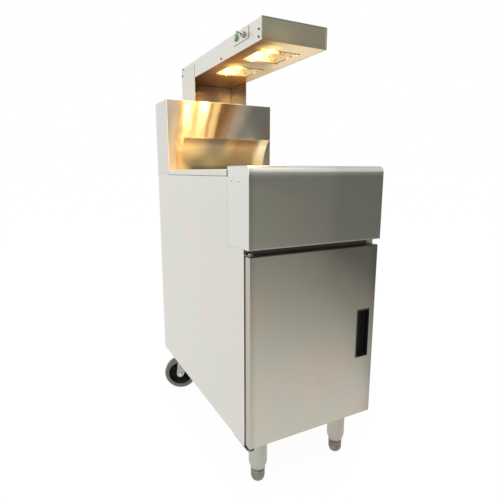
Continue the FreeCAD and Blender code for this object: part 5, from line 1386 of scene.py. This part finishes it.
class CHIPWARMER_OT_stage(bpy.types.Operator):
    """Makes the floor, the studio light, the lamps' own light and the camera"""

    bl_idname = "chip_warmer.stage"
    bl_label = "Stage"

    def execute(self, context):
        scene = context.scene
        finish, stage = scene.chip_warmer_finish, scene.chip_warmer_stage
        reach, below = 60.0, 0.0003
        line = np.linspace(-reach, reach, 3)
        x, y = np.meshgrid(line, line, indexing="ij")
        mesh = bpy.data.meshes.new("floor")
        grid = np.stack([x, y, np.full(x.shape, -below)], axis=-1)
        mesh.from_pydata(grid.reshape(-1, 3), [], grid_faces(3, 3, False, False, 0)[:, ::-1])
        mesh.materials.append(floor_material())
        floor = bpy.data.objects.new("floor", mesh)
        scene.collection.objects.link(floor)
        studio_world()
        aim, across_lamp = (0.0, 0.0, 0.6), 2.0
        soft_lamp("key", (-2.4, -1.4, 2.7), aim, across_lamp, stage.key_power, (1.0, 0.99, 0.97))
        soft_lamp("top", (0.3, 0.2, 3.2), aim, across_lamp, stage.top_power, (1.0, 1.0, 1.0))
        drop, width, length = 0.008, 0.018, 0.030
        for number, centre in enumerate(lamp_centres()):
            glow = soft_lamp("glow_%d" % (number + 1), (centre[0], centre[1], centre[2] - drop),
                             (centre[0], centre[1], 0.0), width, stage.lamp_power, finish.lamp_glow)
            glow.data.shape = "RECTANGLE"
            glow.data.size_y = length
            glow.visible_camera = False
        lens = bpy.data.cameras.new("camera")
        lens.lens = stage.lens
        lens.sensor_width = 36.0
        camera = bpy.data.objects.new("camera", lens)
        scene.collection.objects.link(camera)
        camera.location = (-0.6236, -1.1878, 0.8361)
        dip, turn = 10.657, 27.494
        camera.rotation_euler = (math.radians(90.0 - dip), 0.0, math.radians(-turn))
        scene.camera = camera
        scene.view_settings.view_transform = "Standard"
        return {"FINISHED"}


# ---------------------------------------------------------------- the panel and the run

STEPS = (CHIPWARMER_OT_stage, CHIPWARMER_OT_sheets, CHIPWARMER_OT_shadow_strips, CHIPWARMER_OT_trims,
         CHIPWARMER_OT_screws, CHIPWARMER_OT_controls, CHIPWARMER_OT_lamps, CHIPWARMER_OT_pocket,
         CHIPWARMER_OT_legs, CHIPWARMER_OT_castors)


class CHIPWARMER_PT_panel(bpy.types.Panel):
    """Lists the sizes, the colours and the steps"""

    bl_label = "Chip warmer"
    bl_space_type = "VIEW_3D"
    bl_region_type = "UI"
    bl_category = "Chip warmer"

    def draw(self, context):
        for key in GROUPS:
            group = getattr(context.scene, key)
            box = self.layout.box()
            for name in group.__annotations__:
                box.prop(group, name)
        for step in STEPS:
            self.layout.operator(step.bl_idname)


GROUPS = {"chip_warmer_sizes": ChipWarmerSizes, "chip_warmer_finish": ChipWarmerFinish,
          "chip_warmer_stage": ChipWarmerStage}


def register():
    """Registers the properties, the operators and the panel."""
    for name, group in GROUPS.items():
        bpy.utils.register_class(group)
        setattr(bpy.types.Scene, name, PointerProperty(type=group))
    for kind in STEPS + (CHIPWARMER_PT_panel,):
        bpy.utils.register_class(kind)


def unregister():
    """Takes them all away again."""
    for kind in reversed(STEPS + (CHIPWARMER_PT_panel,)):
        bpy.utils.unregister_class(kind)
    for name, group in GROUPS.items():
        delattr(bpy.types.Scene, name)
        bpy.utils.unregister_class(group)


def main():
    """Dresses the frame."""
    register()
    make_groups()
    bpy.ops.chip_warmer.stage()
    bpy.ops.chip_warmer.sheets()
    bpy.ops.chip_warmer.seals()
    bpy.ops.chip_warmer.trims()
    bpy.ops.chip_warmer.screws()
    bpy.ops.chip_warmer.controls()
    bpy.ops.chip_warmer.lamps()
    bpy.ops.chip_warmer.pocket()
    bpy.ops.chip_warmer.legs()
    bpy.ops.chip_warmer.castors()
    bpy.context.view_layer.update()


if __name__ == "__main__":
    main()
